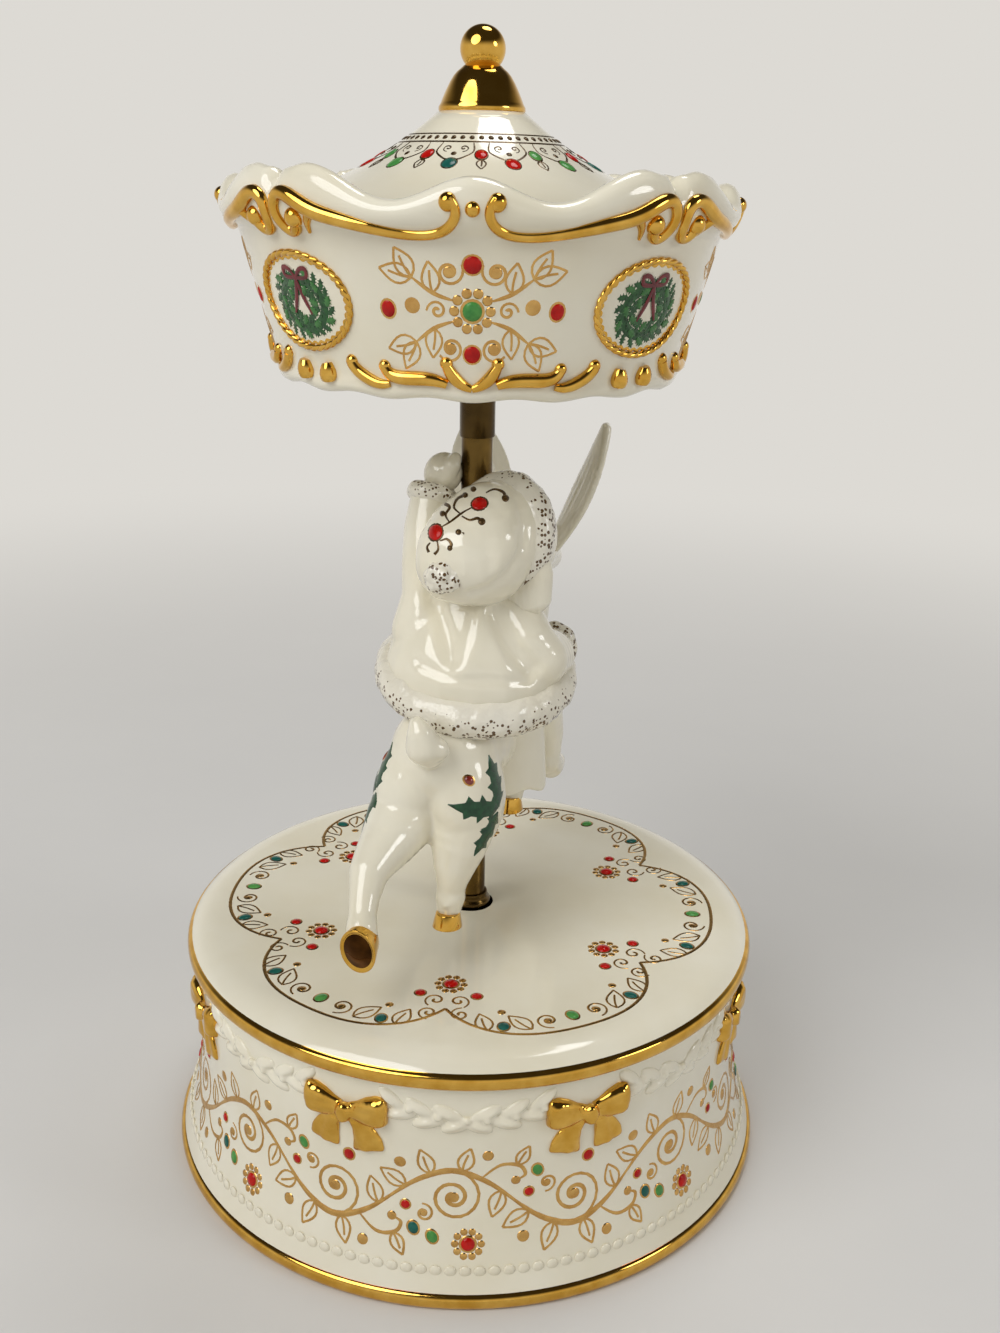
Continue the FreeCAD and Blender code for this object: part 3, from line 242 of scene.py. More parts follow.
pearl_height, pearl_radius, pearl_count, pearl_flatness = 6.2, 1.05, 140, 0.34
pearl_reach = drum_radius(pearl_height)
bpy.ops.mesh.primitive_uv_sphere_add(segments=10, ring_count=6, radius=pearl_radius * mm,
                                     location=(0, -(pearl_reach - 0.1) * mm, pearl_height * mm))
bpy.ops.object.transform_apply(location=True)
pearls = bpy.context.object
pearls.name = "foot_pearls"
bpy.ops.object.mode_set(mode="EDIT")
bpy.ops.transform.resize(value=(1, pearl_flatness, 1),
                         center_override=(0, -pearl_reach * mm, pearl_height * mm))


def repeat_round(count):
    """Copies all that is in edit mode round the upright axis."""
    bpy.ops.mesh.select_all(action="SELECT")
    bpy.ops.mesh.spin(steps=count - 1, dupli=True, angle=math.tau * (count - 1) / count, center=(0, 0, 0),
                      axis=(0, 0, 1))


repeat_round(pearl_count)
close_up()
bpy.ops.object.shade_smooth()
mount(pearls, "base", "porcelain", (ivory,))

# Swags: white moulded garlands of leaves and small flowers in low relief, sprigged on under the lid's
# edge before glazing. One is modelled flat, fused, bent round the drum and repeated between the bows.

swag_count = 8
bpy.ops.mesh.primitive_uv_sphere_add(segments=18, ring_count=11, radius=mm)
ball = bpy.context.object
ball_corners = [corner.co.copy() for corner in ball.data.vertices]
ball_faces = [tuple(face.vertices) for face in ball.data.polygons]
bpy.ops.object.delete()
clay = []


def lump(x, y, z, wide, deep, high, tilt=0.0):
    """Adds an egg of clay at a place, with its half sizes in mm, tilted about the line of sight."""
    spot = Matrix.Translation(Vector((x, y, z)) * mm) @ Matrix.Rotation(math.radians(tilt), 4, "Y")
    clay.append(spot @ Matrix.Diagonal((wide, deep, high, 1)))


def limb(joints, spacing=0.45):
    """Adds a row of balls along joints given as x, y, z and radius in mm."""
    for (x0, y0, z0, r0), (x1, y1, z1, r1) in zip(joints, joints[1:]):
        length = math.dist((x0, y0, z0), (x1, y1, z1))
        count = max(1, math.ceil(length / (spacing * max(0.6, min(r0, r1)))))
        for number in range(count + 1):
            share = number / count
            size = r0 + (r1 - r0) * share
            lump(x0 + (x1 - x0) * share, y0 + (y1 - y0) * share, z0 + (z1 - z0) * share, size, size, size)


def pick(*pieces):
    """Selects pieces, the first of them as the active one."""
    bpy.ops.object.select_all(action="DESELECT")
    for piece in pieces:
        piece.select_set(True)
    bpy.context.view_layer.objects.active = pieces[0]


def as_piece(name, data):
    """Makes an object of a mesh, curve, lamp or lens, and picks it."""
    piece = bpy.data.objects.new(name, data)
    bpy.context.collection.objects.link(piece)
    pick(piece)
    return piece


def shape_by(piece, kind, **settings):
    """Shapes the picked piece with one modifier."""
    change = piece.modifiers.new(kind.lower(), kind)
    for word, setting in settings.items():
        setattr(change, word, setting)
    bpy.ops.object.modifier_apply(modifier=change.name)


def take_clay(name):
    """Makes a piece of all the lumps laid so far, and picks it."""
    corners, faces = [], []
    for spot in clay:
        first = len(corners)
        corners += [spot @ corner for corner in ball_corners]
        faces += [tuple(first + k for k in face) for face in ball_faces]
    clay.clear()
    mesh = bpy.data.meshes.new(name)
    mesh.from_pydata(corners, [], faces)
    piece = as_piece(name, mesh)
    bpy.ops.object.shade_smooth()
    return piece


def one_skin(piece, fineness, rounds):
    """Fuses all the shells of a piece into one skin and smooths it."""
    shape_by(piece, "REMESH", mode="VOXEL", voxel_size=fineness * mm, use_smooth_shade=True)
    shape_by(piece, "SMOOTH", iterations=rounds)


def fuse_clay(name, fineness, rounds):
    """Makes one smoothed piece of the lumps laid so far."""
    piece = take_clay(name)
    one_skin(piece, fineness, rounds)
    return piece


def press_on(piece, fineness, rounds):
    """Presses the lumps laid so far onto a piece and smooths the joins."""
    pick(piece, take_clay("added_clay"))
    bpy.ops.object.join()
    one_skin(piece, fineness, rounds)


def bend_round(piece, middle):
    """Bends a flat piece (x along, -y out, z up) round the drum, about an angle from the front."""
    for corner in piece.data.vertices:
        x, y, z = corner.co / mm
        turn = math.radians(middle) + x / neck_radius
        reach = drum_radius(z) - y
        corner.co = Vector((reach * math.sin(turn), -reach * math.cos(turn), z)) * mm


swag_half, swag_sag, swag_high = 13.6, 2.4, 35.3
leaf_pairs = 6
for number in range(leaf_pairs):
    along = 2 * (number + 0.5) / leaf_pairs - 1
    lean = math.copysign(1, along + 0.01)
    slope = math.degrees(math.atan(2 * swag_sag * along / swag_half))
    for side in (1, -1):
        x = swag_half * along + 0.7 * side * lean
        z = swag_high - swag_sag * (1 - (x / swag_half) ** 2)
        tilt = -slope - 24 * side * lean
        lump(x, 0.1, z + 1.1 * side, 2.8, 0.75, 1.2, tilt)
        lump(x + 0.3 * lean, -0.2, z + 1.05 * side, 1.8, 0.7, 0.55, tilt)
    lump(x + 1.6, -0.45, z + 0.2, 0.62, 0.55, 0.62)
swags = fuse_clay("leaf_swags", 0.26, 3)
bend_round(swags, 0)
bpy.ops.object.mode_set(mode="EDIT")
repeat_round(swag_count)
close_up()
mount(swags, "base", "porcelain", (ivory,))

# Bows: eight puffed ribbon bows moulded in relief and covered in burnished gold, one between each two
# swags. Each has two dented loops, a knot and two short tails with wide ends.

bow_height, bow_turn, bow_stretch, bow_thick = 32.3, 22.5, (1.15, 1.18), 1.9
bow_loop = [(0.3, 1.3), (1.6, 1.8), (3.0, 2.7), (4.6, 3.3), (5.9, 2.9), (6.3, 1.0), (6.2, -1.0),
            (4.6, -1.5), (2.2, -1.3), (0.3, -1.0)]
bow_tail = [(0.2, -0.8), (1.0, -2.4), (1.1, -4.2), (1.0, -6.2), (3.0, -5.8), (5.8, -5.3), (5.4, -3.6),
            (4.6, -2.4), (3.6, -1.4), (2.4, -0.8), (1.0, -0.4)]


def edge_distance(x, z, shape):
    """How far a point lies inside a closed outline, or a negative number outside it."""
    inside, near = False, 99.0
    for (x0, z0), (x1, z1) in zip(shape, shape[1:] + shape[:1]):
        if (z0 > z) != (z1 > z) and x < x0 + (x1 - x0) * (z - z0) / (z1 - z0):
            inside = not inside
        length = (x1 - x0) ** 2 + (z1 - z0) ** 2
        share = min(1.0, max(0.0, ((x - x0) * (x1 - x0) + (z - z0) * (z1 - z0)) / length))
        near = min(near, math.hypot(x - x0 - share * (x1 - x0), z - z0 - share * (z1 - z0)))
    return near if inside else -near


def puff(shape, thick, side, swell):
    """Fills an outline with clay, rounded at its edge. swell(x, z) makes it thicker or thinner from place
    to place."""
    spacing = 0.25
    for step in range(-16, 34):
        for row in range(-32, 20):
            x, z = spacing * step, spacing * row
            deep = edge_distance(x, z, shape)
            if deep > 0.2:
                size = min(deep, thick)
                lump(x * side, -0.15, bow_height + z, size, size * swell(x, z), size)


def loop_swell(x, z):
    """A loop bellies out and is pinched in two creases that run to the knot."""
    creases = math.exp(-((z - 0.3 * x) / 0.4) ** 2) + 0.7 * math.exp(-((z + 0.14 * x) / 0.4) ** 2)
    return 0.85 + 0.14 * x - 0.55 * creases * max(0.0, 1 - x / 4.6)


def tail_swell(x, z):
    """A tail lies flat with a raised fold down its middle."""
    return 0.75 + 0.5 * math.exp(-((x + 0.35 * z - 1.2) / 0.7) ** 2)


for side in (1, -1):
    puff(bow_loop, 1.15, side, loop_swell)
    puff(bow_tail, 0.8, side, tail_swell)
    lump(5.4 * side, -0.5, bow_height + 1.0, 0.9, 1.3, 2.3, 3 * side)
lump(0.0, -0.9, bow_height + 0.1, 1.2, 1.2, 1.55)
lump(0.0, -1.2, bow_height + 0.1, 0.8, 1.0, 1.5)
bows = fuse_clay("ribbon_bows", 0.2, 2)
for corner in bows.data.vertices:
    x, y, z = corner.co / mm
    z = bow_height - 0.3 + bow_stretch[1] * (z - bow_height)
    corner.co = Vector((bow_stretch[0] * x, max(-bow_thick, y), z)) * mm
bend_round(bows, bow_turn)
bpy.ops.object.mode_set(mode="EDIT")
repeat_round(swag_count)
close_up()
mount(bows, "base", "gilding", (gilding,), "gilt_bows")

# Drum decoration: a running scroll printed in gold with laurel leaves, beaded red rosettes and drops of
# raised enamel. It is laid on over the glaze and fired, so it stands up from the wall by a hair.

print_gold = finish("printed_gold", (220, 178, 108), (196, 150, 84), 500, 0.16, 0.3, metal=1, dents=0.02,
                    dent_grain=900)
red_enamel = finish("red_enamel", (198, 24, 16), (164, 14, 12), 700, 0.08, 0.16)
green_enamel = finish("green_enamel", (88, 156, 78), (62, 130, 64), 700, 0.1, 0.2)
teal_enamel = finish("teal_enamel", (34, 102, 90), (22, 80, 74), 700, 0.1, 0.2)
for enamel in (red_enamel, green_enamel, teal_enamel):
    enamel.node_tree.nodes["Principled BSDF"].inputs["Specular IOR Level"].default_value = 0.25
GOLD, RED, GREEN, TEAL = range(4)
enamels = (print_gold, red_enamel, green_enamel, teal_enamel)
line_rise, edge_rise, sunk = 0.1, -0.02, -0.12


def lay_print(name, place, lines, drops):
    """Lays raised lines (rows of along, up, width) and drops (along, up, half width, half height, tilt,
    colour, rise) on a surface, all in mm. place(along, up, rise) gives the point."""
    corners, faces, colours = [], [], []
    for line in lines:
        first = len(corners)
        last = len(line) - 1
        across = (-1, 0, 1) if max(row[2] for row in line) < 1.2 else (-1, -0.5, 0, 0.5, 1)
        ring = len(across) + 1
        for number, (u, v, width) in enumerate(line):
            back, ahead = line[max(0, number - 1)], line[min(last, number + 1)]
            du, dv = ahead[0] - back[0], ahead[1] - back[1]
            half = width / 2 / max(1e-6, math.hypot(du, dv))
            for side in across:
                lift = edge_rise if abs(side) == 1 else line_rise
                corners.append(place(u + dv * half * side, v - du * half * side, lift))
            corners.append(place(u, v, sunk))
            if number:
                a = first + ring * number
                faces += [(a - ring + k, a - ring + (k + 1) % ring, a + (k + 1) % ring, a + k)
                          for k in range(ring)]
        a = first + ring * last
        faces += [tuple(first + ring - 1 - k for k in range(ring)), tuple(a + k for k in range(ring))]
        colours += [GOLD] * (len(faces) - len(colours))
    for u, v, wide, high, tilt, colour, rise in drops:
        sides = 10 if max(wide, high) < 0.6 else 16
        lean = math.radians(tilt)
        first = len(corners)
        for share, lift in ((1.0, sunk), (1.0, -0.01), (0.72, 0.72 * rise)):
            for number in range(sides):
                turn = math.tau * number / sides
                du, dv = wide * share * math.cos(turn), high * share * math.sin(turn)
                corners.append(place(u + du * math.cos(lean) - dv * math.sin(lean),
                                     v + du * math.sin(lean) + dv * math.cos(lean), lift))
        corners.append(place(u, v, rise))
        top = len(corners) - 1
        for number in range(sides):
            after = (number + 1) % sides
            for ring in (0, 1):
                low = first + ring * sides
                faces.append((low + number, low + after, low + sides + after, low + sides + number))
            faces.append((first + 2 * sides + number, first + 2 * sides + after, top))
        faces.append(tuple(first + sides - 1 - number for number in range(sides)))
        colours += [colour] * (len(faces) - len(colours))
    mesh = bpy.data.meshes.new(name)
    mesh.from_pydata(corners, [], faces)
    mesh.polygons.foreach_set("material_index", colours)
    mesh.update()
    piece = as_piece(name, mesh)
    bpy.ops.object.shade_smooth_by_angle(angle=math.radians(70))
    return piece


def spiral(u, v, wide, start, turns, width, hand=1, core=0.12):
    """A line that winds in to its middle from a start angle in degrees."""
    count = max(10, round(18 * turns))
    line = []
    for number in range(count + 1):
        share = number / count
        turn = math.radians(start) + hand * math.tau * turns * share
        reach = wide * (1 - (1 - core) * share ** 0.8)
        line.append((u + reach * math.cos(turn), v + reach * math.sin(turn), width * (0.6 + 0.4 * share)))
    return line


def curve(points, width, taper=0.35, steps=6):
    """A smooth line through points, thick in the middle and thinner at the ends."""
    ends = [points[0]] + list(points) + [points[-1]]
    line = []
    total = (len(points) - 1) * steps
    for number in range(len(points) - 1):
        p0, p1, p2, p3 = ends[number:number + 4]
        for step in range(steps + (number == len(points) - 2)):
            t = step / steps
            spot = [0.5 * (2 * b + (c - a) * t + (2 * a - 5 * b + 4 * c - d) * t * t
                           + (3 * b - a - 3 * c + d) * t ** 3) for a, b, c, d in zip(p0, p1, p2, p3)]
            share = (number * steps + step) / total
            swell = taper + (1 - taper) * math.sin(math.pi * share)
            line.append((spot[0], spot[1], width * swell))
    return line


def laurel(u, v, turn, length, width, line):
    """A laurel leaf in outline with its midrib, growing from a point at an angle."""
    c, s = math.cos(math.radians(turn)), math.sin(math.radians(turn))
    rows = []
    for bulge in (1, -1, 0.12):
        reach = 1.0 if abs(bulge) == 1 else 0.72
        shape = [(length * reach * t, bulge * width * math.sin(math.pi * t ** 0.8))
                 for t in (0, 0.15, 0.3, 0.45, 0.6, 0.75, 0.9, 1)]
        rows.append([(u + c * a - s * b, v + s * a + c * b, line) for a, b in shape])
    return rows


def gold_dot(u, v, size, rise=0.12):
    """A round gold dot."""
    return (u, v, size, size, 0, GOLD, rise)


def rosette(u, v, colour, size=1.0):
    """An enamel drop in a gold setting with a ring of gold beads."""
    rows = [gold_dot(u, v, 1.5 * size), (u, v, 1.2 * size, 1.2 * size, 0, colour, 0.5 * size)]
    beads, ring = 10, 2.1 * size
    for number in range(beads):
        turn = math.tau * number / beads
        spot = (u + ring * math.cos(turn), v + ring * math.sin(turn))
        rows.append(gold_dot(*spot, 0.62 * size, 0.12 * size))
    return rows


def cabochon(u, v, size, colour, tilt=0, stretch=1.25):
    """A small oval enamel drop with a gold rim."""
    rim = size + 0.22
    return [(u, v, rim, rim * stretch, tilt, GOLD, 0.1), (u, v, size, size * stretch, tilt, colour, 0.32)]


def on_drum(along, up, rise):
    """A point on the drum's wall, along it in mm from the front."""
    turn = along / neck_radius
    reach = drum_radius(up) + rise
    return Vector((reach * math.sin(turn), -reach * math.cos(turn), up)) * mm


wave_count, band = 8, 17.8
wave = math.tau * neck_radius / wave_count
vine = ((-12.6, -0.5), (-7.6, 3.6), (-2.2, 5.6), (3.2, 3.6), (8.2, -0.5))
tendril = ((2.4, 4.2), (5.4, 6.5), (8.4, 6.2), (9.4, 4.4), (7.9, 3.5))
vine_leaves = ((-9.6, 2.2, 150, 4.9), (-5.6, 4.8, 112, 4.7), (-0.6, 5.5, 74, 4.5), (5.6, 1.8, -108, 4.8),
               (8.2, 6.3, 62, 3.8))
vine_dots = ((-2.0, 0.7, 0.95), (7.9, 3.5, 0.8), (13.0, 2.4, 0.6), (3.4, 8.4, 0.95), (-10.6, 6.4, 1.0))
drum_lines, drum_drops = [], []
for number in range(wave_count):
    for side, mid in ((1, wave * number), (-1, wave * (number + 0.5))):
        drum_lines.append(curve([(mid + x, band + y * side) for x, y in vine], 1.2))
        drum_lines.append(curve([(mid + x, band + y * side) for x, y in tendril], 0.8))
        drum_lines.append(spiral(mid - 2.0, band + 0.7 * side, 4.7, 70 * side, 1.9, 0.95, -side))
        drum_lines.append(spiral(mid + 13.0, band + 2.4 * side, 1.7, -100 * side, 1.4, 0.7, side))
        for x, y, turn, length in vine_leaves:
            drum_lines += laurel(mid + x, band + y * side, turn * side, length, 0.28 * length, 0.46)
        drum_drops += [gold_dot(mid + x, band + y * side, size) for x, y, size in vine_dots]
        drum_drops += cabochon(mid + 11.4, band + 5.0 * side, 0.9, GREEN if side > 0 else TEAL, 20)
        drum_drops += cabochon(mid - 9.6, band - 1.2 * side, 0.8, RED, 0, 1.0)
    drum_drops += rosette(mid - wave / 2 + 0.4, band - 7.2, RED, 0.98)
    drum_drops += cabochon(mid - wave / 2 - 5.2, band - 6.2, 0.9, GREEN, 30)
    drum_drops += cabochon(mid + 0.4, band + 5.8, 0.95, RED, 0, 1.1)
drum_print = lay_print("drum_print", on_drum, drum_lines, drum_drops)
mount(drum_print, "base", "gilding", enamels)

# Turntable: a porcelain disc that turns on top of the drum, with a gilded half-round edge and a printed
# garland of six lobes. It is carried on the hub that the movement drives.

disc_low, disc_top, flat_radius, disc_edge, edge_fall = 39.2, 44.0, 45.6, 51.1, 0.028
disc_outline = [(2.75, 43.2)]
disc_outline += [(radius, disc_top) for radius in (2.75, 10.0, 20.0, 30.0, 40.0, flat_radius)]
disc_outline += [(47.4, 43.85), (49.0, 43.35), (50.2, 42.65), (50.9, 42.0)]
disc_outline += list(reversed(bead(disc_edge, disc_low, 41.8, 0.7)))
disc_outline += [(49.5, disc_low), (48.5, 40.4), (12.0, 40.4), (12.0, 43.2), (2.75, 43.2)]
disc = turned("turntable_disc_glazed", disc_outline, sides=160)
mount(disc, "turntable", "porcelain", (ivory, gilding), "turntable_disc")
gild(disc, lambda radius, height: radius > 50.4 and height < 41.95)


def on_disc(along, up, rise):
    """A point on top of the disc, which rounds off towards its edge."""
    reach = math.hypot(along, up)
    drop = 0.0 if reach < flat_radius else edge_fall * (reach - flat_radius) ** 2
    return Vector((along, up, disc_top - drop + rise)) * mm


def turned_about(rows, turn):
    """Turns a flat drawing about the middle of the disc."""
    c, s = math.cos(turn), math.sin(turn)
    return [(c * row[0] - s * row[1], s * row[0] + c * row[1]) + tuple(row[2:]) for row in rows]


def turned_drops(rows, turn):
    """Turns drops with the drawing, and their tilt with them."""
    return [row[:4] + (row[4] + math.degrees(turn),) + row[5:] for row in turned_about(rows, turn)]


lobes, lobe_start, lobe_steps, cusp_reach, lobe_reach = 6, 24, 36, 36.4, 8.2
half_lobe = math.pi / lobes
disc_lines, disc_drops = [], []
for number in range(lobes):
    turn = math.tau * number / lobes + math.radians(lobe_start)
    edge = []
    for step in range(lobe_steps + 1):
        share = step / lobe_steps * 2 - 1
        reach = cusp_reach + lobe_reach * (1 - abs(share) ** 3)
        lean = half_lobe * share
        edge.append((reach * math.sin(lean), -reach * math.cos(lean), 0.75))
    lines, drops = [edge], cabochon(0, -41.2, 1.05, GREEN, 0)
    for side in (1, -1):
        lines.append(spiral(4.3 * side, -41.0, 2.2, -90, 1.5, 0.7, side))
        lines.append(spiral(16.6 * side, -34.0, 1.9, -60 * side, 1.4, 0.65, -side))
        lines += laurel(7.7 * side, -42.2, 90 - 22 * side, 5.2, 1.5, 0.46)
        lines += laurel(14.4 * side, -39.8, 90 + 8 * side, 4.8, 1.4, 0.46)
        drops += cabochon(11.6 * side, -39.8, 1.0, TEAL, 30 * side)
        drops += [gold_dot(10.2 * side, -36.0, 0.75), gold_dot(4.3 * side, -41.0, 0.7)]
    disc_lines += [turned_about(line, turn) for line in lines]
    disc_drops += turned_drops(drops, turn)
    cusp = [spiral(1.9 * side, -34.0, 2.0, 90 - 150 * side, 1.3, 0.65, side) for side in (1, -1)]
    disc_lines += [turned_about(line, turn + half_lobe) for line in cusp]
    jewels = rosette(0, -29.0, RED, 1.05)
    for side in (1, -1):
        jewels += cabochon(4.7 * side, -32.2, 0.95, RED, 0, 1.0)
    disc_drops += turned_drops(jewels, turn + half_lobe)
disc_print = lay_print("disc_print", on_disc, disc_lines, disc_drops)
mount(disc_print, "turntable", "gilding", enamels)

# Pole: a drawn brass tube gone dark with age, seated in a small turned collar on the disc. A thin sleeve
# covers its upper end below the canopy. Its darker brass is partly its own tone and partly painted shade
# from the canopy above, and the collar is given the same colour.

aged_brass = finish("aged_brass", (122, 97, 50), (84, 64, 32), 180, 0.18, 0.34, metal=1, dents=0.03,
                    dent_grain=1200, stretch=(1, 1, 0.08))
pole_outline = [(1.6, 44.0), (2.6, 44.0), (2.6, 90.0), (2.6, 175.6), (2.4, 175.8), (1.6, 175.8),
                (1.6, 44.0)]
pole = turned("brass_pole", pole_outline, sides=64)
mount(pole, "turntable", "brass", (aged_brass,), "pole")
collar_outline = [(2.65, 44.0), (3.55, 44.0), (3.65, 44.15), (3.65, 44.7), (3.5, 44.95), (3.2, 45.2),
                  (3.05, 45.7), (3.1, 46.0), (3.0, 46.3), (2.85, 46.4), (2.65, 46.4), (2.65, 44.0)]
collar = turned("pole_collar_turned", collar_outline, sides=64)
# Darker brass: partly the sleeve's own tone, partly painted shade from the canopy over it.
sleeve_brass_with_painted_shade = finish("sleeve_brass_with_painted_shade", (92, 72, 38), (64, 49, 27), 160, 0.16, 0.3, metal=1, dents=0.03,
                      dent_grain=1200, stretch=(1, 1, 0.08))
mount(collar, "turntable", "brass", (sleeve_brass_with_painted_shade,), "pole_collar")
sleeve_outline = [(2.65, 130.8), (2.85, 130.8), (2.95, 130.95), (2.95, 150.0), (2.95, 169.9), (2.85, 170.0),
                  (2.65, 170.0), (2.65, 130.8)]
sleeve = turned("canopy_sleeve_drawn", sleeve_outline, sides=64)
mount(sleeve, "turntable", "brass", (sleeve_brass_with_painted_shade,), "canopy_sleeve")

# Deer: slip-cast in one with the saddle, glazed ivory, leaping with one hind leg thrown back. The pole
# runs through its body. It is built up from joint to joint in its own heading and then turned.

deer_heading = -16.5


def turn_about_pole(piece, degrees):
    """Turns a finished piece to the deer's heading."""
    piece.data.transform(Matrix.Rotation(math.radians(degrees), 4, "Z"))


limb([(0, -16.5, 80.2, 9.3), (0, -9, 80.4, 9.8), (0, 3, 80.2, 10.0), (0, 13, 82, 9.9)])
lump(4.6, -18.0, 74.2, 6.4, 8.0, 10.2, -3)
lump(-5.0, -18.6, 73.8, 6.4, 8.2, 10.4, 11)
lump(0, 13.5, 78.5, 8.6, 8.0, 8.0)
deer = fuse_clay("deer_body", 0.42, 26)
limb([(0, 15, 86, 8.8), (1.2, 21, 93, 6.8), (2.2, 24.5, 100, 5.8)])
limb([(2.3, 25.5, 106, 6.0), (2.7, 29.5, 105, 5.0), (3.2, 34, 102.8, 3.8), (3.5, 37.2, 101.7, 3.2)])
lump(2.8, 31, 101.6, 2.7, 4.6, 2.0)
for x in (0.0, 5.2):
    lump(x, 29.2, 108.0, 1.7, 2.2, 1.3)
limb([(4.6, -19.6, 70.4, 5.8), (4.1, -20.8, 66.6, 4.9), (3.7, -21.8, 63.4, 3.8), (3.4, -22.4, 60.6, 2.9),
      (3.2, -22.5, 58.4, 2.4), (3.2, -22.7, 57.2, 2.6), (3.1, -23.0, 55.4, 2.2)])
limb([(-5.4, -21.5, 70.4, 6.2), (-6.2, -26.4, 68.0, 4.9), (-6.9, -31.0, 66.4, 3.8),
      (-7.2, -33.4, 65.4, 3.3), (-6.9, -36.2, 62.6, 2.6), (-6.4, -38.6, 60.2, 2.3),
      (-6.0, -40.0, 58.8, 2.6), (-5.8, -40.4, 57.6, 2.6)])
for hind in ((3.2, -24.6, 56.8), (-6.6, -38.0, 58.8)):
    lump(*hind, 1.1, 1.1, 0.9)
for side, ahead in ((0.8, 0), (-1, 3)):
    limb([(5.2 * side, 13, 76, 5.6), (5.6 * side, 23 + ahead, 68, 3.2), (4.2 * side, 20 + ahead, 62.4, 2.3),
          (3.6 * side, 17.2 + ahead, 58.6, 2.3)])
limb([(0.2, -25.6, 84.2, 2.8), (0.1, -27.6, 85.8, 3.0), (-0.2, -28.2, 88.0, 2.3), (-0.9, -28.0, 89.8, 1.3)])
lump(1.6, -27.0, 85.4, 2.6, 2.1, 2.1)
ear_rows, ear_columns = 26, 7
ears = (((-5.0, 23.4, 108.5), (-6.8, 21.5, 129.6), (1, 0.25, 0), (-0.25, 1, 0)),
        ((7.6, 24.6, 107.6), (16.4, 26.2, 129.2), (-0.3, 0.94, 0.12), (0.9, 0.3, -0.3)))
for base, tip, spread, hollow in ears:
    base, tip, spread, hollow = [Vector(way) for way in (base, tip, spread, hollow)]
    for number in range(ear_rows):
        share = number / (ear_rows - 1)
        half = 1.0 + 3.9 * math.sin(math.pi * min(1, 0.12 + 0.88 * share) ** 1.15) ** 0.9
        for column in range(ear_columns):
            across = 2 * column / (ear_columns - 1) - 1
            spot = base.lerp(tip, share) + spread * half * across + hollow * 0.32 * half * across ** 2
            lump(*spot, 0.85, 0.85, 0.95)
press_on(deer, 0.4, 5)
turn_about_pole(deer, deer_heading)
mount(deer, "turntable", "porcelain", (ivory,), "deer_figure")

# Hooves: four small hooves cast with the legs and dipped in burnished gold. The soles are coloured a dark
# brown gold inside a bright edge, a painted dark reflection, and the hoof that is thrown back shows its
# own.

hoof_soles = (((-5.6, -41.3, 56.6), (3.0, 4.3, 1.7), 80), ((3.1, -23.8, 53.4), (2.5, 3.0, 1.25), 8),
              ((2.9, 16.7, 57.2), (2.4, 2.8, 1.5), 0), ((-3.6, 19.7, 57.2), (2.4, 2.8, 1.5), 0))
# Dark brown gold for the soles: a painted dark reflection, not a tone of the gilding itself.
sole_gold_painted_reflection = finish("sole_painted_dark_reflection", (92, 57, 22), (46, 27, 11), 260, 0.05, 0.12, metal=1, dents=0.03,
                   dent_grain=260)
sole_steps = ((0.11, 0.0), (0.08, 0.16), (0.26, -0.2), (0.26, -0.1))
shod = []
for centre, (wide, long, deep), tip in hoof_soles:
    bpy.ops.mesh.primitive_cylinder_add(vertices=32, radius=mm, depth=2 * mm)
    hoof = bpy.context.object
    bpy.ops.object.mode_set(mode="EDIT")
    bpy.ops.mesh.select_all(action="DESELECT")
    bpy.ops.object.mode_set(mode="OBJECT")
    max(hoof.data.polygons, key=lambda face: face.center.z).select = True
    bpy.ops.object.mode_set(mode="EDIT")
    bpy.ops.transform.resize(value=(0.8, 0.8, 1), center_override=(0, 0, mm))
    bpy.ops.mesh.select_all(action="DESELECT")
    bpy.ops.object.mode_set(mode="OBJECT")
    min(hoof.data.polygons, key=lambda face: face.center.z).select = True
    bpy.ops.object.mode_set(mode="EDIT")
    for inset, sink in sole_steps:
        bpy.ops.mesh.inset(thickness=inset * mm)
        bpy.ops.transform.translate(value=(0, 0, sink * mm))
    bpy.ops.mesh.select_more()
    bpy.ops.mesh.select_more()
    bpy.ops.object.mode_set(mode="OBJECT")
    # The sole faces take the painted dark reflection, and the rest stays burnished gold.
    hoof.data.materials.append(gilding)
    hoof.data.materials.append(sole_gold_painted_reflection)
    for face in hoof.data.polygons:
        face.material_index = int(face.select)
    bpy.ops.object.mode_set(mode="EDIT")
    bpy.ops.mesh.select_all(action="SELECT")
    bpy.ops.transform.resize(value=(wide, long, deep), center_override=(0, 0, 0))
    bpy.ops.object.mode_set(mode="OBJECT")
    hoof.data.transform(Matrix.Translation(Vector(centre) * mm) @ Matrix.Rotation(math.radians(-tip), 4,
                                                                                  "X"))
    shape_by(hoof, "BEVEL", width=0.45 * mm, segments=3, limit_method="ANGLE")
    bpy.ops.object.shade_smooth_by_angle(angle=math.radians(50))
    shod.append(hoof)
pick(*shod)
bpy.ops.object.join()
hooves = shod[0]
hooves.name = "gilt_hooves"
turn_about_pole(hooves, deer_heading)
mount(hooves, "turntable", "gilding", (), "deer_figure")

# Saddle cloth: a short cloth moulded over the deer's back and flanks, falling in soft folds at its lower
# edge. It is porcelain too, cast with the deer and glazed with it, and the rider sits on it.

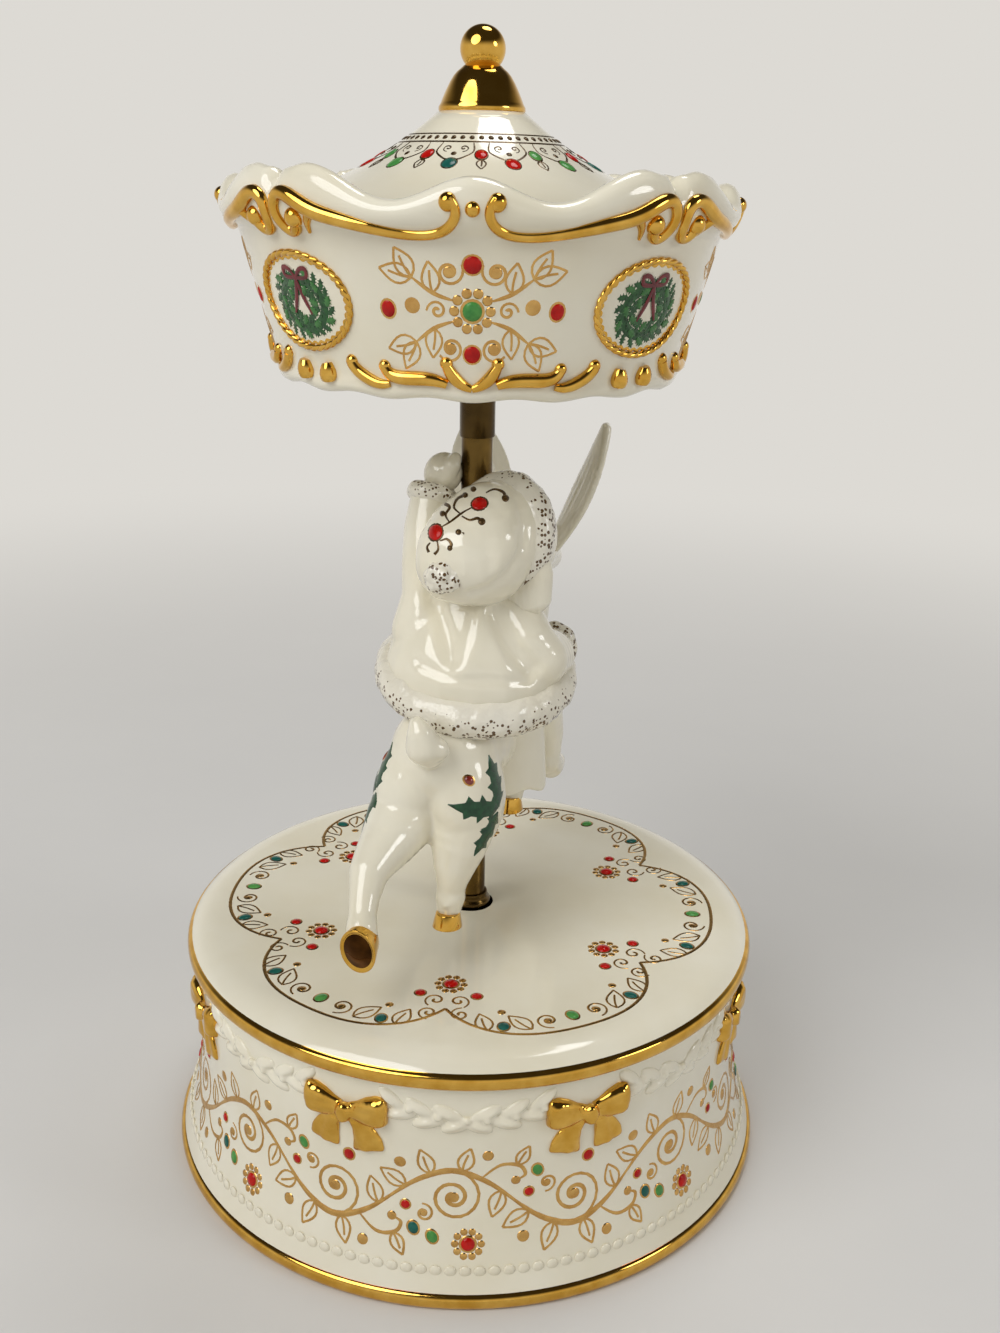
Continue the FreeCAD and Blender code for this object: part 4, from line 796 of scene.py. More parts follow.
cloth_centre, cloth_radius, cloth_fall, cloth_thick = 79.6, 11.5, 11.2, 0.9
for side, name in ((1, "saddle_cloth_right"), (-1, "saddle_cloth_left")):
    bpy.ops.mesh.primitive_grid_add(x_subdivisions=44, y_subdivisions=30, size=2)
    cloth = bpy.context.object
    cloth.name = name
    for corner in cloth.data.vertices:
        along, fall = corner.co.x, 0.5 - 0.5 * corner.co.y
        y = 0.6 + 7.6 * along * (1 - 0.06 * fall)
        turn = math.radians(min(90, 24 + 120 * fall))
        loose = max(0.0, fall - 0.3) / 0.7
        fold = 0.6 * loose * math.sin(along * 5.6 + 0.7)
        close = max(0.0, -along)
        drawn_in = (2.4 + 5.0 * loose) * close ** 2.2
        reach = cloth_radius + 0.3 + 0.4 * loose + fold * (1 - close ** 2) - drawn_in
        waves = 0.6 * loose * math.sin(along * 6.4 + 1.2)
        hang = cloth_fall * max(0.0, fall - 0.55) / 0.45 - 1.6 * loose * along ** 4 + waves
        corner.co = Vector((side * reach * math.sin(turn), y,
                            cloth_centre + reach * math.cos(turn) - hang)) * mm
    shape_by(cloth, "SOLIDIFY", thickness=cloth_thick * mm, offset=0)
    shape_by(cloth, "SUBSURF", levels=1, render_levels=1)
    bpy.ops.object.mode_set(mode="EDIT")
    close_up()
    bpy.ops.object.shade_smooth()
    turn_about_pole(cloth, deer_heading)
    mount(cloth, "turntable", "porcelain", (ivory,), "deer_figure")

# Holly sprigs: three spiny dark green leaves with a gold-rimmed berry on each of the deer's haunches.
# They are painted over the glaze and fired, so they lie on the skin by a hair.

holly_green = finish("holly_green", (24, 78, 44), (14, 54, 32), 900, 0.12, 0.24, dents=0.02,
                     dent_grain=1500)
BERRY, BERRY_RIM = 1, 2
berry_red = finish("berry_red", (150, 48, 34), (110, 30, 22), 900, 0.1, 0.2, coat=0.5)


def on_piece(piece, azimuth=0.0, down=0.0, middle=(0, 0, 0)):
    """Places a drawing on a piece as it is thrown at it from behind, about a middle in mm, turned by an
    azimuth and sloping down, both in degrees."""
    bpy.context.view_layer.update()
    turn = Matrix.Rotation(math.radians(-azimuth), 3, "Z") @ Matrix.Rotation(math.radians(-down), 3, "X")
    along, way, up = [turn @ Vector(axis) for axis in ((1, 0, 0), (0, 1, 0), (0, 0, 1))]
    middle = Vector(middle)
    far, near = 90, 25

    def place(u, v, rise):
        aim = middle + along * u + up * v
        hit, spot, normal, face = piece.ray_cast((aim - way * far) * mm, way)
        if not hit:
            hit, spot, normal, face = piece.closest_point_on_mesh((aim - way * near) * mm)
        return spot + normal * rise * mm

    return place


def spiny_leaf(base, tip, half, parts=3):
    """A holly leaf: a line from base to tip whose width runs out into spines."""
    spines = ((0.0, 0.1), (0.1, 0.42), (0.21, 1.0), (0.25, 0.55), (0.38, 0.6), (0.5, 1.15), (0.54, 0.58),
              (0.65, 0.55), (0.76, 0.92), (0.8, 0.4), (0.9, 0.24), (1.0, 0.03))
    rows = []
    for (t0, w0), (t1, w1) in zip(spines, spines[1:]):
        for step in range(parts):
            share = step / parts
            t = t0 + (t1 - t0) * share
            rows.append((base[0] + (tip[0] - base[0]) * t, base[1] + (tip[1] - base[1]) * t,
                         2 * half * (w0 + (w1 - w0) * share)))
    rows.append((tip[0], tip[1], 0.1 * half))
    return rows


def round_berry(u, v, size):
    """A berry with a thin gold rim."""
    return [(u, v, size + 0.2, size + 0.2, 0, BERRY_RIM, 0.1), (u, v, size, size, 0, BERRY, 0.3)]


sprigs = (("holly_right", -40, (-16.4, 79.4), (((-11.0, 73.6), (-11.4, 82.2), 2.6),
                                               ((-11.2, 73.6), (-19.4, 75.4), 2.6),
                                               ((-11.2, 72.8), (-15.8, 66.0), 2.4))),
          ("holly_left", 52, (3.4, 79.6), (((6.2, 75.8), (5.6, 82.8), 2.1), ((6.4, 75.0), (5.6, 67.6), 2.2),
                                           ((5.8, 75.4), (-0.6, 76.4), 2.1))))
for name, azimuth, berry, leaves in sprigs:
    leaf_lines = [spiny_leaf(base, tip, half) for base, tip, half in leaves]
    sprig = lay_print(name, on_piece(deer, azimuth), leaf_lines, round_berry(*berry, 0.75))
    mount(sprig, "turntable", "porcelain", (holly_green, berry_red, print_gold))

# Rider's coat: the seated rider is cast in one, in a full winter coat with the left arm raised to the
# pole. The coat spreads over the saddle, and the boots hang at the deer's sides.

coat_rows = ((91.6, 15.4, 14.4), (94.4, 15.3, 14.3), (97.0, 14.3, 13.2), (99.6, 12.6, 11.5),
             (102.0, 10.8, 9.8), (104.4, 9.0, 8.1), (106.6, 7.0, 6.8))


def crease(piece, path, depth, width):
    """Presses a soft furrow into the near side of a piece along a path of (x, z) in mm; less than 0
    raises a fold."""
    ends = [Vector(spot) for spot in path]
    normals = [corner.normal.copy() for corner in piece.data.vertices]
    for corner, normal in zip(piece.data.vertices, normals):
        near = min(1.0, max(0.0, 0.3 - normal.y))
        spot = Vector((corner.co.x / mm, corner.co.z / mm))
        gap = 99.0
        for start, end in zip(ends, ends[1:]):
            run = end - start
            share = min(1.0, max(0.0, (spot - start).dot(run) / run.length_squared))
            gap = min(gap, (spot - start - run * share).length)
        if near and gap < 3 * width:
            corner.co -= normal * depth * mm * near * math.exp(-(gap / width) ** 2)


coat_folds = (([(-7.4, 107.0), (-5.0, 102.0), (-3.8, 98.5)], 1.1, 1.5),
              ([(-3.4, 105.2), (-2.4, 101.6)], 1.0, 3.2),
              ([(3.0, 105.0), (5.9, 100.4), (9.4, 96.2)], 1.2, 1.4),
              ([(1.6, 105.4), (-0.4, 100.8), (-2.4, 96.0)], -0.55, 1.9),
              ([(-9.0, 97.2), (-3.0, 95.6), (3.2, 95.4), (9.0, 94.6)], 0.5, 0.9))
for (z0, wide0, deep0), (z1, wide1, deep1) in zip(coat_rows, coat_rows[1:]):
    for share in (0, 0.33, 0.67):
        lump(0.0, -8.2, z0 + (z1 - z0) * share, wide0 + (wide1 - wide0) * share,
             deep0 + (deep1 - deep0) * share, 4.2)
limb([(-6.4, -8.6, 102.2, 5.6), (6.2, -8.8, 101.6, 5.6)])
coat = fuse_clay("rider_coat", 0.42, 30)
limb([(-7.6, -8.6, 99.5, 6.4), (-7.0, -8.0, 105, 5.3), (-7.7, -6.2, 110.5, 4.7), (-8.0, -4.0, 115.5, 4.2),
      (-7.6, -2.4, 119.8, 3.7)])
limb([(6.2, -10.2, 102.6, 5.2), (8.6, -13.0, 99.0, 5.0), (10.8, -13.0, 96.2, 4.9), (12.6, -8.0, 95.2, 4.5),
      (13.3, -2.0, 94.4, 3.9)])
press_on(coat, 0.42, 9)
for path, depth, width in coat_folds:
    crease(coat, path, depth, width)
mount(coat, "turntable", "porcelain", (ivory,), "rider_figure")
for side in (1, -1):
    c, s = math.cos(math.radians(deer_heading)), math.sin(math.radians(deer_heading))
    for path in ([(9.0, 2, 87, 5.0), (10.8, 5.6, 82, 4.2), (11.6, 7.6, 77, 3.3), (11.7, 8.2, 73, 2.8)],
                 [(11.7, 8.0, 70.8, 2.8), (11.9, 10.6, 68.8, 2.6), (12.0, 13.2, 68.4, 2.2)]):
        limb([(side * x * c - y * s, side * x * s + y * c, z, ball) for x, y, z, ball in path])
boots = fuse_clay("rider_boots", 0.42, 5)
mount(boots, "turntable", "porcelain", (ivory,), "rider_figure")

# Fur: the hem, cuffs, cap band and pompon are rolled edges tooled to look like fur and sponged with
# specks of brown gold.


def speckled(name, density):
    """Ivory glaze sponged with brown gold specks, as many as the piece's specks attribute asks for."""
    material = finish(name, (240, 236, 223), (232, 226, 208), 60, 0.1, 0.22, coat=0.4, dents=0.2,
                      dent_grain=900)
    tree = material.node_tree
    shader = tree.nodes["Principled BSDF"]
    under = shader.inputs["Base Color"].links[0].from_node
    place = add_node(tree, "ShaderNodeTexCoord")
    cells = add_node(tree, "ShaderNodeTexVoronoi", {"Scale": 1700})
    split = add_node(tree, "ShaderNodeSeparateColor")
    asked = add_node(tree, "ShaderNodeAttribute", attribute_name="specks")
    chance = add_node(tree, "ShaderNodeMath", {1: density}, operation="MULTIPLY_ADD")
    size = add_node(tree, "ShaderNodeMapRange", {"From Min": 1.0, "From Max": 1.25, "To Max": 0.5})
    dots = add_node(tree, "ShaderNodeMath", operation="LESS_THAN")
    specks = add_node(tree, "ShaderNodeMix", {7: paint(92, 66, 34)}, data_type="RGBA")
    wire(place, "Object", cells, "Vector")
    wire(cells, "Color", split, "Color")
    wire(asked, "Fac", chance, 0)
    wire(split, "Red", chance, 2)
    wire(chance, "Value", size, "Value")
    wire(cells, "Distance", dots, 0)
    wire(size, "Result", dots, 1)
    wire(dots, "Value", specks, 0)
    wire(under, "Colour", specks, 6)
    wire(specks, 2, shader, "Base Color")
    return material


fur = speckled("sponged_fur", 0.75)


def sponge(piece, amount):
    """Says how thickly each point of a skin is specked: amount(point in mm) is 0 to 1."""
    layer = piece.data.attributes.new("specks", "FLOAT", "POINT")
    layer.data.foreach_set("value", [min(1.0, max(0.0, amount(corner.co / mm)))
                                     for corner in piece.data.vertices])


def round_tube(centre, facing, ring, tube, out, ahead):
    """Specks on one side of a rolled ring: out from its middle and ahead the way that it faces."""
    centre, facing = Vector(centre), Vector(facing).normalized()

    def amount(spot):
        way = spot - centre
        lift = way.dot(facing)
        reach = (way - facing * lift).length - ring
        return 0.3 + 0.9 * (out * reach + ahead * lift) / tube

    return amount


def tufted(piece, depth, grain):
    """Pushes a skin in and out in small tufts."""
    normals = [corner.normal.copy() for corner in piece.data.vertices]
    for corner, normal in zip(piece.data.vertices, normals):
        corner.co += normal * depth * mm * noise.noise(corner.co / mm * grain)


def fur_ring(name, centre, facing, ring, tube):
    """A rolled ring that faces a direction."""
    turn = Vector(facing).to_track_quat("Z", "Y").to_euler()
    bpy.ops.mesh.primitive_torus_add(major_radius=ring * mm, minor_radius=tube * mm, major_segments=140,
                                     minor_segments=32, location=Vector(centre) * mm, rotation=turn)
    bpy.ops.object.transform_apply()
    bpy.context.object.name = name
    return bpy.context.object


def done_fur(piece, depth, grain, amount, rounds=2):
    """Specks, tufts and mounts a piece of fur."""
    sponge(piece, amount)
    tufted(piece, depth, grain)
    shape_by(piece, "SMOOTH", iterations=rounds)
    bpy.ops.object.shade_smooth()
    mount(piece, "turntable", "porcelain", (fur,), "rider_figure")


face_way = Vector((0.643, 0.733, -0.27)).normalized()
brim_centre = Vector((4.9, -7.3, 116.0))
rings = (("fur_hem", (0.3, -7.6, 92.0), (0.05, -0.26, 1), 13.8, 3.4, 0.55, -0.75, 0.5),
         ("fur_cuff_left", (-7.4, -1.9, 121.2), (0.2, 0.3, 0.9), 2.7, 1.6, 0.5, 0.7, 0.3),
         ("fur_cuff_right", (13.6, 0.2, 94.0), (0.1, 0.92, -0.3), 2.8, 1.7, 0.7, -0.4, 0.3),
         ("cap_band", brim_centre - face_way * 0.9, face_way, 7.2, 3.15, 0.75, 0.45, 0.3))
for name, centre, facing, ring, tube, out, ahead, tufts in rings:
    piece = fur_ring(name, centre, facing, ring, tube)
    done_fur(piece, tufts, 0.5, round_tube(centre, facing, ring, tube, out, ahead), 3)
lump(-5.0, -21.0, 112.2, 3.1, 2.2, 2.7)
lump(-6.2, -21.3, 113.2, 1.5, 1.5, 1.4)
lump(-3.7, -21.7, 111.6, 1.5, 1.5, 1.4)
lump(-4.9, -22.4, 113.0, 1.3, 1.2, 1.2)
pom = fuse_clay("cap_pompon", 0.25, 3)
done_fur(pom, 0.35, 0.9, lambda spot: 0.75)

# Cap and mittens: a smooth soft cap that droops to the left behind, with a fold along its band, and two
# plain mittens, one round the pole. They are cast with the rider and glazed ivory.

limb([(4.4, -7.9, 116.0, 9.2), (2.4, -10.2, 115.8, 9.4), (0.4, -12.4, 114.6, 9.4),
      (-1.6, -14.4, 114.0, 8.1), (-3.2, -15.6, 113.2, 6.5)])
cap = fuse_clay("rider_cap", 0.4, 10)
crease(cap, [(5.0, 125.2), (6.8, 123.2), (7.8, 119.9), (7.4, 116.4), (5.6, 113.6), (2.6, 111.0),
             (-0.6, 109.6)], 0.55, 0.9)
crease(cap, [(2.6, 125.0), (4.2, 121.6), (4.8, 118.0), (3.8, 114.4), (1.6, 111.4)], -0.25, 1.6)
mount(cap, "turntable", "porcelain", (ivory,), "rider_figure")
lump(-5.6, -0.6, 124.6, 3.3, 3.3, 3.6, 18)
limb([(-5.0, -2.4, 124.4, 1.6), (-4.0, -2.9, 126.4, 1.4), (-3.6, -2.4, 127.4, 1.1)])
limb([(-4.8, 0.8, 124.6, 2.8), (-3.6, 3.4, 124.4, 2.3), (-1.2, 4.8, 124.4, 2.0), (1.4, 4.4, 124.4, 1.7)])
limb([(13.3, 1.4, 93.0, 2.8), (12.8, 4.4, 92.0, 3.0), (12.0, 6.6, 91.4, 2.4)])
lump(10.8, 4.6, 93.0, 1.3, 1.6, 1.3)
mittens = fuse_clay("rider_mittens", 0.3, 4)
mount(mittens, "turntable", "porcelain", (ivory,), "rider_figure")

# Cap decoration: two red enamel drops in gold settings, with dark gold curls and dots between them. The
# curls are printed and the drops laid on over the glaze, and then they are fired.

on_cap = on_piece(cap, 0, 14, (0.4, -12.6, 114.6))
cap_lines = [curve([(-0.9, 6.7), (-2.6, 5.7), (-4.4, 4.3), (-5.9, 3.4)], 0.45)]
cap_curls = (((-2.9, 5.6), (-3.9, 6.6), (-3.4, 8.0), (-2.2, 8.6)),
             ((-2.6, 5.2), (-1.4, 4.6), (-0.2, 4.9), (0.5, 4.4)),
             ((1.1, 9.0), (2.4, 9.6), (3.8, 9.2), (4.2, 8.3)),
             ((-4.6, 4.3), (-5.2, 5.4), (-4.6, 6.6), (-5.4, 7.2)),
             ((-6.4, 1.2), (-6.2, 0.0), (-6.8, -0.8)),
             ((-5.9, 1.3), (-4.9, 1.6), (-4.2, 0.9), (-4.4, 0.2)),
             ((-7.5, 1.0), (-8.0, 0.3), (-7.7, -0.5)))
cap_dots = ((0.5, 4.4, 0.6), (-2.2, 8.6, 0.5), (4.2, 8.2, 0.62), (-4.4, 0.2, 0.45), (-3.1, 2.7, 0.5),
            (-5.7, 5.6, 0.5), (-0.9, 9.6, 0.5), (-3.7, 9.9, 0.42))
for comma in cap_curls:
    rows = curve(comma, 1.0)
    cap_lines.append([(u, v, 0.26 + 0.5 * number / 17) for number, (u, v, width) in enumerate(rows)])
cap_drops = cabochon(0.1, 7.2, 1.3, RED, 15, 0.82) + cabochon(-6.7, 2.6, 1.2, RED, -12, 1.12)
cap_drops += [gold_dot(u, v, size, 0.2) for u, v, size in cap_dots]
cap_print = lay_print("cap_print", on_cap, cap_lines, cap_drops)
dark_gold = finish("dark_gold", (98, 74, 38), (72, 52, 28), 600, 0.2, 0.34, metal=0.6)
mount(cap_print, "turntable", "gilding", (dark_gold, red_enamel))

# Head: a plain round doll's face under the cap, looking over the deer's shoulder, cast with the rest.
# Soft locks of hair hang out below the fur band.

side_way = Vector((face_way.y, -face_way.x, 0)).normalized()
up_way = side_way.cross(face_way).normalized()
head_centre = brim_centre + face_way * 1.2 - up_way * 1.2


def on_face(right, up, out):
    """A point in mm from the middle of the head, the way that it looks."""
    return head_centre + side_way * right + up_way * up + face_way * out


head_balls = ((0, 0, 0, 7.0), (0, -1.8, 1.6, 6.0), (2.6, -1.9, 4.0, 2.7), (-2.6, -1.9, 4.0, 2.7),
              (0, -4.7, 4.0, 2.3), (0, -0.9, 7.3, 1.0), (0, 0.2, 6.8, 0.8), (0, 2.6, 2.4, 5.2))
for right, up, out, size in head_balls:
    lump(*on_face(right, up, out), size, size, size)
head = fuse_clay("rider_head", 0.3, 6)
mount(head, "turntable", "porcelain", (ivory,), "rider_figure")
lock_count, lock_low = 17, 104.4
limb([(3.4, -8.0, 108.5, 4.8), (4.0, -8.0, 104.5, 4.8)])
lump(6.2, -8.4, 109.6, 6.4, 6.0, 5.2)
for number in range(lock_count):
    turn = math.pi * (1 + number / (lock_count - 1))
    start = brim_centre + (side_way * math.cos(turn) + up_way * math.sin(turn)) * 7.6 - face_way * 0.7
    fall = Vector((0, 0, -max(2.4, start.z - lock_low)))
    away = Vector((start.x - 3.6, start.y + 8.4, 0)).normalized()
    limb([(*start, 1.5), (*(start + away * 1.1 + fall * 0.45), 1.6),
          (*(start + away * 1.2 + fall * 0.8), 1.4), (*(start - away * 0.1 + fall), 0.85)])
hair = fuse_clay("rider_hair", 0.28, 1)
mount(hair, "turntable", "porcelain", (ivory,), "rider_figure")

# Painted faces: brown eyes, brows and a small red mouth brushed on the rider's face, and dark eyes and a
# nose on the deer's head. A small white dot in each eye is a painted highlight. The colours are fired on
# over the glaze.

eye_brown = finish("eye_brown", (66, 42, 28), (44, 28, 20), 900, 0.1, 0.2, coat=0.5)
lip_red = finish("lip_red", (178, 84, 74), (160, 66, 58), 900, 0.16, 0.28, coat=0.4)
# White for the dot in each eye: a painted highlight.
eye_painted_highlight = finish("eye_painted_highlight", (250, 249, 246), (242, 240, 236), 900, 0.1, 0.2, coat=0.5)
cheek_pink = finish("cheek_pink", (232, 196, 180), (226, 184, 168), 900, 0.12, 0.22, coat=0.5)
face_paints = (eye_brown, lip_red, eye_painted_highlight, cheek_pink)
EYE, LIP, PAINTED_HIGHLIGHT, CHEEK = range(4)


def on_head(right, up, rise):
    """A point on the rider's face, from the middle of the face in mm."""
    before = 30
    hit, spot, normal, face = head.ray_cast(on_face(right, up, before) * mm, -face_way)
    return spot + normal * rise * mm


bpy.context.view_layer.update()
face_lines, face_drops = [], [(0.0, -3.35, 0.95, 0.34, 0, LIP, 0.12)]
for side in (1, -1):
    face_lines.append(curve([(1.2 * side, 2.3), (2.3 * side, 2.8), (3.4 * side, 2.25)], 0.36))
    face_lines.append(curve([(1.45 * side, 1.05), (2.3 * side, 1.7), (3.2 * side, 1.05)], 0.34))
    # The small white drop in each eye is a painted highlight.
    face_drops += [(3.1 * side, -1.8, 1.15, 0.85, 0, CHEEK, 0.03), (2.3 * side, 0.75, 0.6, 0.8, 0, EYE,
                                                                    0.14),
                   (2.3 * side + 0.18, 1.05, 0.2, 0.22, 0, PAINTED_HIGHLIGHT, 0.24)]
face_lines.append(curve([(-1.3, -2.95), (0, -3.2), (1.3, -2.95)], 0.26))
rider_face = lay_print("rider_face", on_head, face_lines, face_drops)
mount(rider_face, "turntable", "porcelain", face_paints)
for name, azimuth, u, v in (("deer_eye_right", -90, 26.2, 107.0), ("deer_eye_left", 90, -28.6, 107.2)):
    lid = [curve([(u - 1.5, v + 0.3), (u, v + 1.35), (u + 1.5, v + 0.4)], 0.4)]
    # The small white drop in the deer's eye is a painted highlight.
    drops = [(u, v, 1.15, 0.95, 0, EYE, 0.2), (u + 0.25, v + 0.35, 0.28, 0.28, 0, PAINTED_HIGHLIGHT, 0.32)]
    mount(lay_print(name, on_piece(deer, azimuth), lid, drops), "turntable", "porcelain", face_paints)
nose_line = curve([(-3.5, 101.0), (-3.5, 100.0), (-3.5, 99.2)], 0.3)
nose_drop = (-3.5, 102.4, 1.7, 1.15, 0, EYE, 0.35)
nose = lay_print("deer_nose", on_piece(deer, 180 - deer_heading), [nose_line], [nose_drop])
mount(nose, "turntable", "porcelain", face_paints)

# Canopy: a slip-cast porcelain canopy with a flared wall, a thick rolled rim that waves round the four
# corners, and a concave roof. It hangs on the pole from its crown.

canopy_turn, panels = -1.5, 4
crown_radius, crown_height, crown_under = 6.8, 180.8, 176.4
roof_curve, roof_r, roof_z = 64.0, 48.56, 229.3
rim_knots = ((0.0, 171.2), (16.5, 168.1), (36.5, 172.5), (42.0, 172.0), (45.0, 170.2))


def roof_height(radius):
    """Height of the concave roof at a radius."""
    return roof_z - math.sqrt(roof_curve ** 2 - (radius - roof_r) ** 2)


def rim_crest(turn):
    """Height of the rim at an angle from the middle of a panel, in degrees."""
    for (t0, z0), (t1, z1) in zip(rim_knots, rim_knots[1:]):
        if turn <= t1:
            share = 0.5 - 0.5 * math.cos(math.pi * (turn - t0) / (t1 - t0))
            return z0 + (z1 - z0) * share
    return rim_knots[-1][1]


def turn_in_panel(x, y):
    """Angle from the middle of the nearest panel, in degrees."""
    turn = math.degrees(math.atan2(x, -y)) - canopy_turn
    return abs((turn + 45) % 90 - 45)


rim_rest, rim_foot, lip_top = 170.0, 164.2, 144
canopy_outline = [(28.9, 141.9), (29.3, 141.3), (30.4, 141.0), (31.4, 141.1), (32.2, 141.6), (32.45, 142.4),
                  (32.3, 143.2), (32.35, 144.0), (32.8, 145.6), (33.6, 148.4), (34.5, 151.6), (35.4, 154.8),
                  (36.3, 158.0), (37.1, 161.0), (37.7, 163.0), (38.2, 163.8), (39.2, 164.5), (40.1, 165.6),
                  (40.6, 166.9), (40.65, 168.0), (40.3, 169.0), (39.5, 169.8), (38.5, 170.1), (37.4, 169.9),
                  (36.6, 169.2), (36.2, 168.3), (35.9, 167.4), (35.5, 166.8)]
canopy_outline += [(radius, roof_height(radius)) for radius in (34.5, 32, 29, 26, 23, 20, 17, 14, 11, 8.5)]
canopy_outline += [(crown_radius, crown_height), (3.2, crown_height), (3.2, crown_under),
                   (crown_radius, crown_under)]
canopy_outline += [(radius, roof_height(radius) - 4.2) for radius in (10, 14, 18, 22, 26, 30)]
canopy_outline += [(33.6, 163.8), (34.0, 162.6), (33.2, 159.0), (31.0, 150.0), (28.9, 141.9)]
canopy = turned("canopy_glazed", canopy_outline, sides=400, crease=50)
for corner in canopy.data.vertices:
    x, y, z = corner.co / mm
    reach = math.hypot(x, y)
    turn = turn_in_panel(x, y)
    if reach > 35.2 and z > rim_foot:
        lift = min(1.0, (z - rim_foot) / (rim_rest - rim_foot))
        z += (rim_crest(turn) - rim_rest) * lift
        notch = math.exp(-((turn - 45) / 2.8) ** 2)
        reach -= 0.9 * notch * lift if reach > 37 else 0.0
    if z < lip_top and reach > 30:
        z -= 0.28 * math.cos(math.radians(turn * 16)) * (lip_top - z) / 3
    grow = reach / math.hypot(x, y)
    corner.co = Vector((x * grow, y * grow, z)) * mm
mount(canopy, "turntable", "porcelain", (ivory,), "canopy")


def on_canopy(turn, up, rise):
    """A point on the canopy's outer wall, at an angle from the front panel's middle."""
    lean = math.radians(turn + canopy_turn)
    outward = Vector((math.sin(lean), -math.cos(lean), 0))
    outside = 60
    hit, spot, normal, face = canopy.ray_cast((outward * outside + Vector((0, 0, up))) * mm, -outward)
    return spot + normal * rise * mm

# Canopy scrolls: relief scrolls under the rim and along the lower lip, moulded on the wall and gilded.
# Each runs out from a ball-ended curl at the corner to another at the panel's middle.

rim_underside, lip_thicker = 166.5, 1.35


def relief(name, strands, balls):
    """Round gilded strands (rows of turn, height, thickness) and balls (turn, height, size) on the
    canopy."""
    data = bpy.data.curves.new(name, "CURVE")
    data.dimensions = "3D"
    data.bevel_depth = mm
    data.bevel_resolution = 3
    data.use_fill_caps = True
    for strand in strands:
        spline = data.splines.new("NURBS")
        spline.points.add(len(strand) - 1)
        for point, (turn, height, thick) in zip(spline.points, strand):
            point.co = (*on_canopy(turn, height, 0.25 * thick), 1)
            point.radius = thick
        spline.order_u = 4
        spline.resolution_u = 5
        spline.use_endpoint_u = True
    as_piece(name, data)
    bpy.ops.object.convert(target="MESH")
    strand_mesh = bpy.context.object
    for turn, height, size in balls:
        buried = 0.35 if height > rim_underside else 0.08
        lump(*(on_canopy(turn, height, -buried * size) / mm), size, size, size)
    piece = take_clay(name)
    pick(piece, strand_mesh)
    bpy.ops.object.join()
    bpy.ops.object.shade_smooth_by_angle(angle=math.radians(60))
    return piece


bpy.context.view_layer.update()
upper_scroll = [(38.4, 165.6, 0.9), (38.8, 164.3, 0.9), (40.4, 163.5, 0.85), (42.4, 164.2, 0.8),
                (43.5, 165.9, 0.8), (43.2, 167.7, 0.9), (41.2, 168.9, 1.0), (38.4, 168.5, 1.1),
                (35.0, 167.2, 1.2), (31.6, 166.3, 1.15), (27.0, 165.7, 1.05), (21.0, 164.8, 0.9),
                (13.8, 163.9, 0.8), (7.6, 163.9, 0.78), (3.6, 165.0, 0.75), (2.6, 167.2, 0.7),
                (4.2, 168.5, 0.6)]
spur = [(32.8, 166.6, 0.9), (35.2, 165.8, 0.75), (36.4, 163.6, 0.25)]
lip_bars = [[(31.8, 145.9, 0.6), (30.8, 144.9, 0.68), (27.5, 143.6, 0.72), (23.6, 142.8, 0.6),
             (21.2, 143.2, 0.4)],
            [(22.3, 145.6, 0.55), (21.4, 144.7, 0.68), (19.0, 144.1, 0.78), (14.0, 144.3, 0.82),
             (9.0, 144.2, 0.72), (6.2, 143.5, 0.5)],
            [(6.3, 146.4, 0.52), (5.4, 145.2, 0.72), (3.6, 143.9, 0.76), (1.4, 143.1, 0.5),
             (0.0, 142.9, 0.4)],
            [(40.4, 145.4, 0.6), (40.2, 144.6, 1.0), (40.4, 143.3, 1.2), (40.4, 142.6, 0.7)]]
scroll_balls = [(38.5, 165.5, 1.45), (4.6, 168.0, 1.3), (31.8, 146.0, 1.0), (22.3, 145.7, 0.95),
                (6.3, 146.5, 0.95)]
panel_strands = [upper_scroll, spur]
panel_strands += [[(turn, height, lip_thicker * thick) for turn, height, thick in bar] for bar in lip_bars]
strands, balls = [], []
for panel in range(panels):
    middle = 90 * panel
    for side in (1, -1):
        for strand in panel_strands:
            strands.append([(middle + side * turn, height, thick) for turn, height, thick in strand])
        balls += [(middle + side * turn, height, size) for turn, height, size in scroll_balls]
    balls.append((middle, 167.1, 1.1))
scrolls = relief("canopy_scrolls", strands, balls)
mount(scrolls, "turntable", "gilding", (gilding,))

# Medallions: an oval at each corner of the canopy in a gilded rope frame, painted with a green wreath
# that is tied with a dark red ribbon.

medallion_height, rope_wide, rope_high = 154.0, 9.6, 6.7
rope_turns, rope_steps, wall_radius = 18, 216, 35.4
ropes = []
for panel in range(panels):
    for strand in (0, 1):
        row = []
        for step in range(rope_steps + 1):
            turn = math.tau * step / rope_steps
            twist = rope_turns * turn + math.pi * strand
            grow = 0.15 * math.cos(twist)
            u = (rope_wide + grow) * math.cos(turn)
            v = (rope_high + grow) * math.sin(turn)
            corner_turn = 45 + 90 * panel + math.degrees(u / wall_radius)
            row.append((corner_turn, medallion_height + v, 0.15 + 0.15 * math.sin(twist)))
        ropes.append(row)
rope_data = bpy.data.curves.new("medallion_ropes", "CURVE")
rope_data.dimensions = "3D"
rope_data.bevel_depth = 0.4 * mm
rope_data.bevel_resolution = 1
for row in ropes:
    spline = rope_data.splines.new("POLY")
    spline.points.add(len(row) - 2)
    for point, spot in zip(spline.points, row):
        point.co = (*on_canopy(*spot), 1)
    spline.use_cyclic_u = True
as_piece("medallion_ropes", rope_data)
bpy.ops.object.convert(target="MESH")
rope_frames = bpy.context.object
bpy.ops.object.shade_smooth()
mount(rope_frames, "turntable", "gilding", (gilding,), "medallion_frames")


def on_panels(along, up, rise):
    """A point on the canopy's wall, along it in mm from the front panel's middle."""
    return on_canopy(math.degrees(along / wall_radius), up, rise)


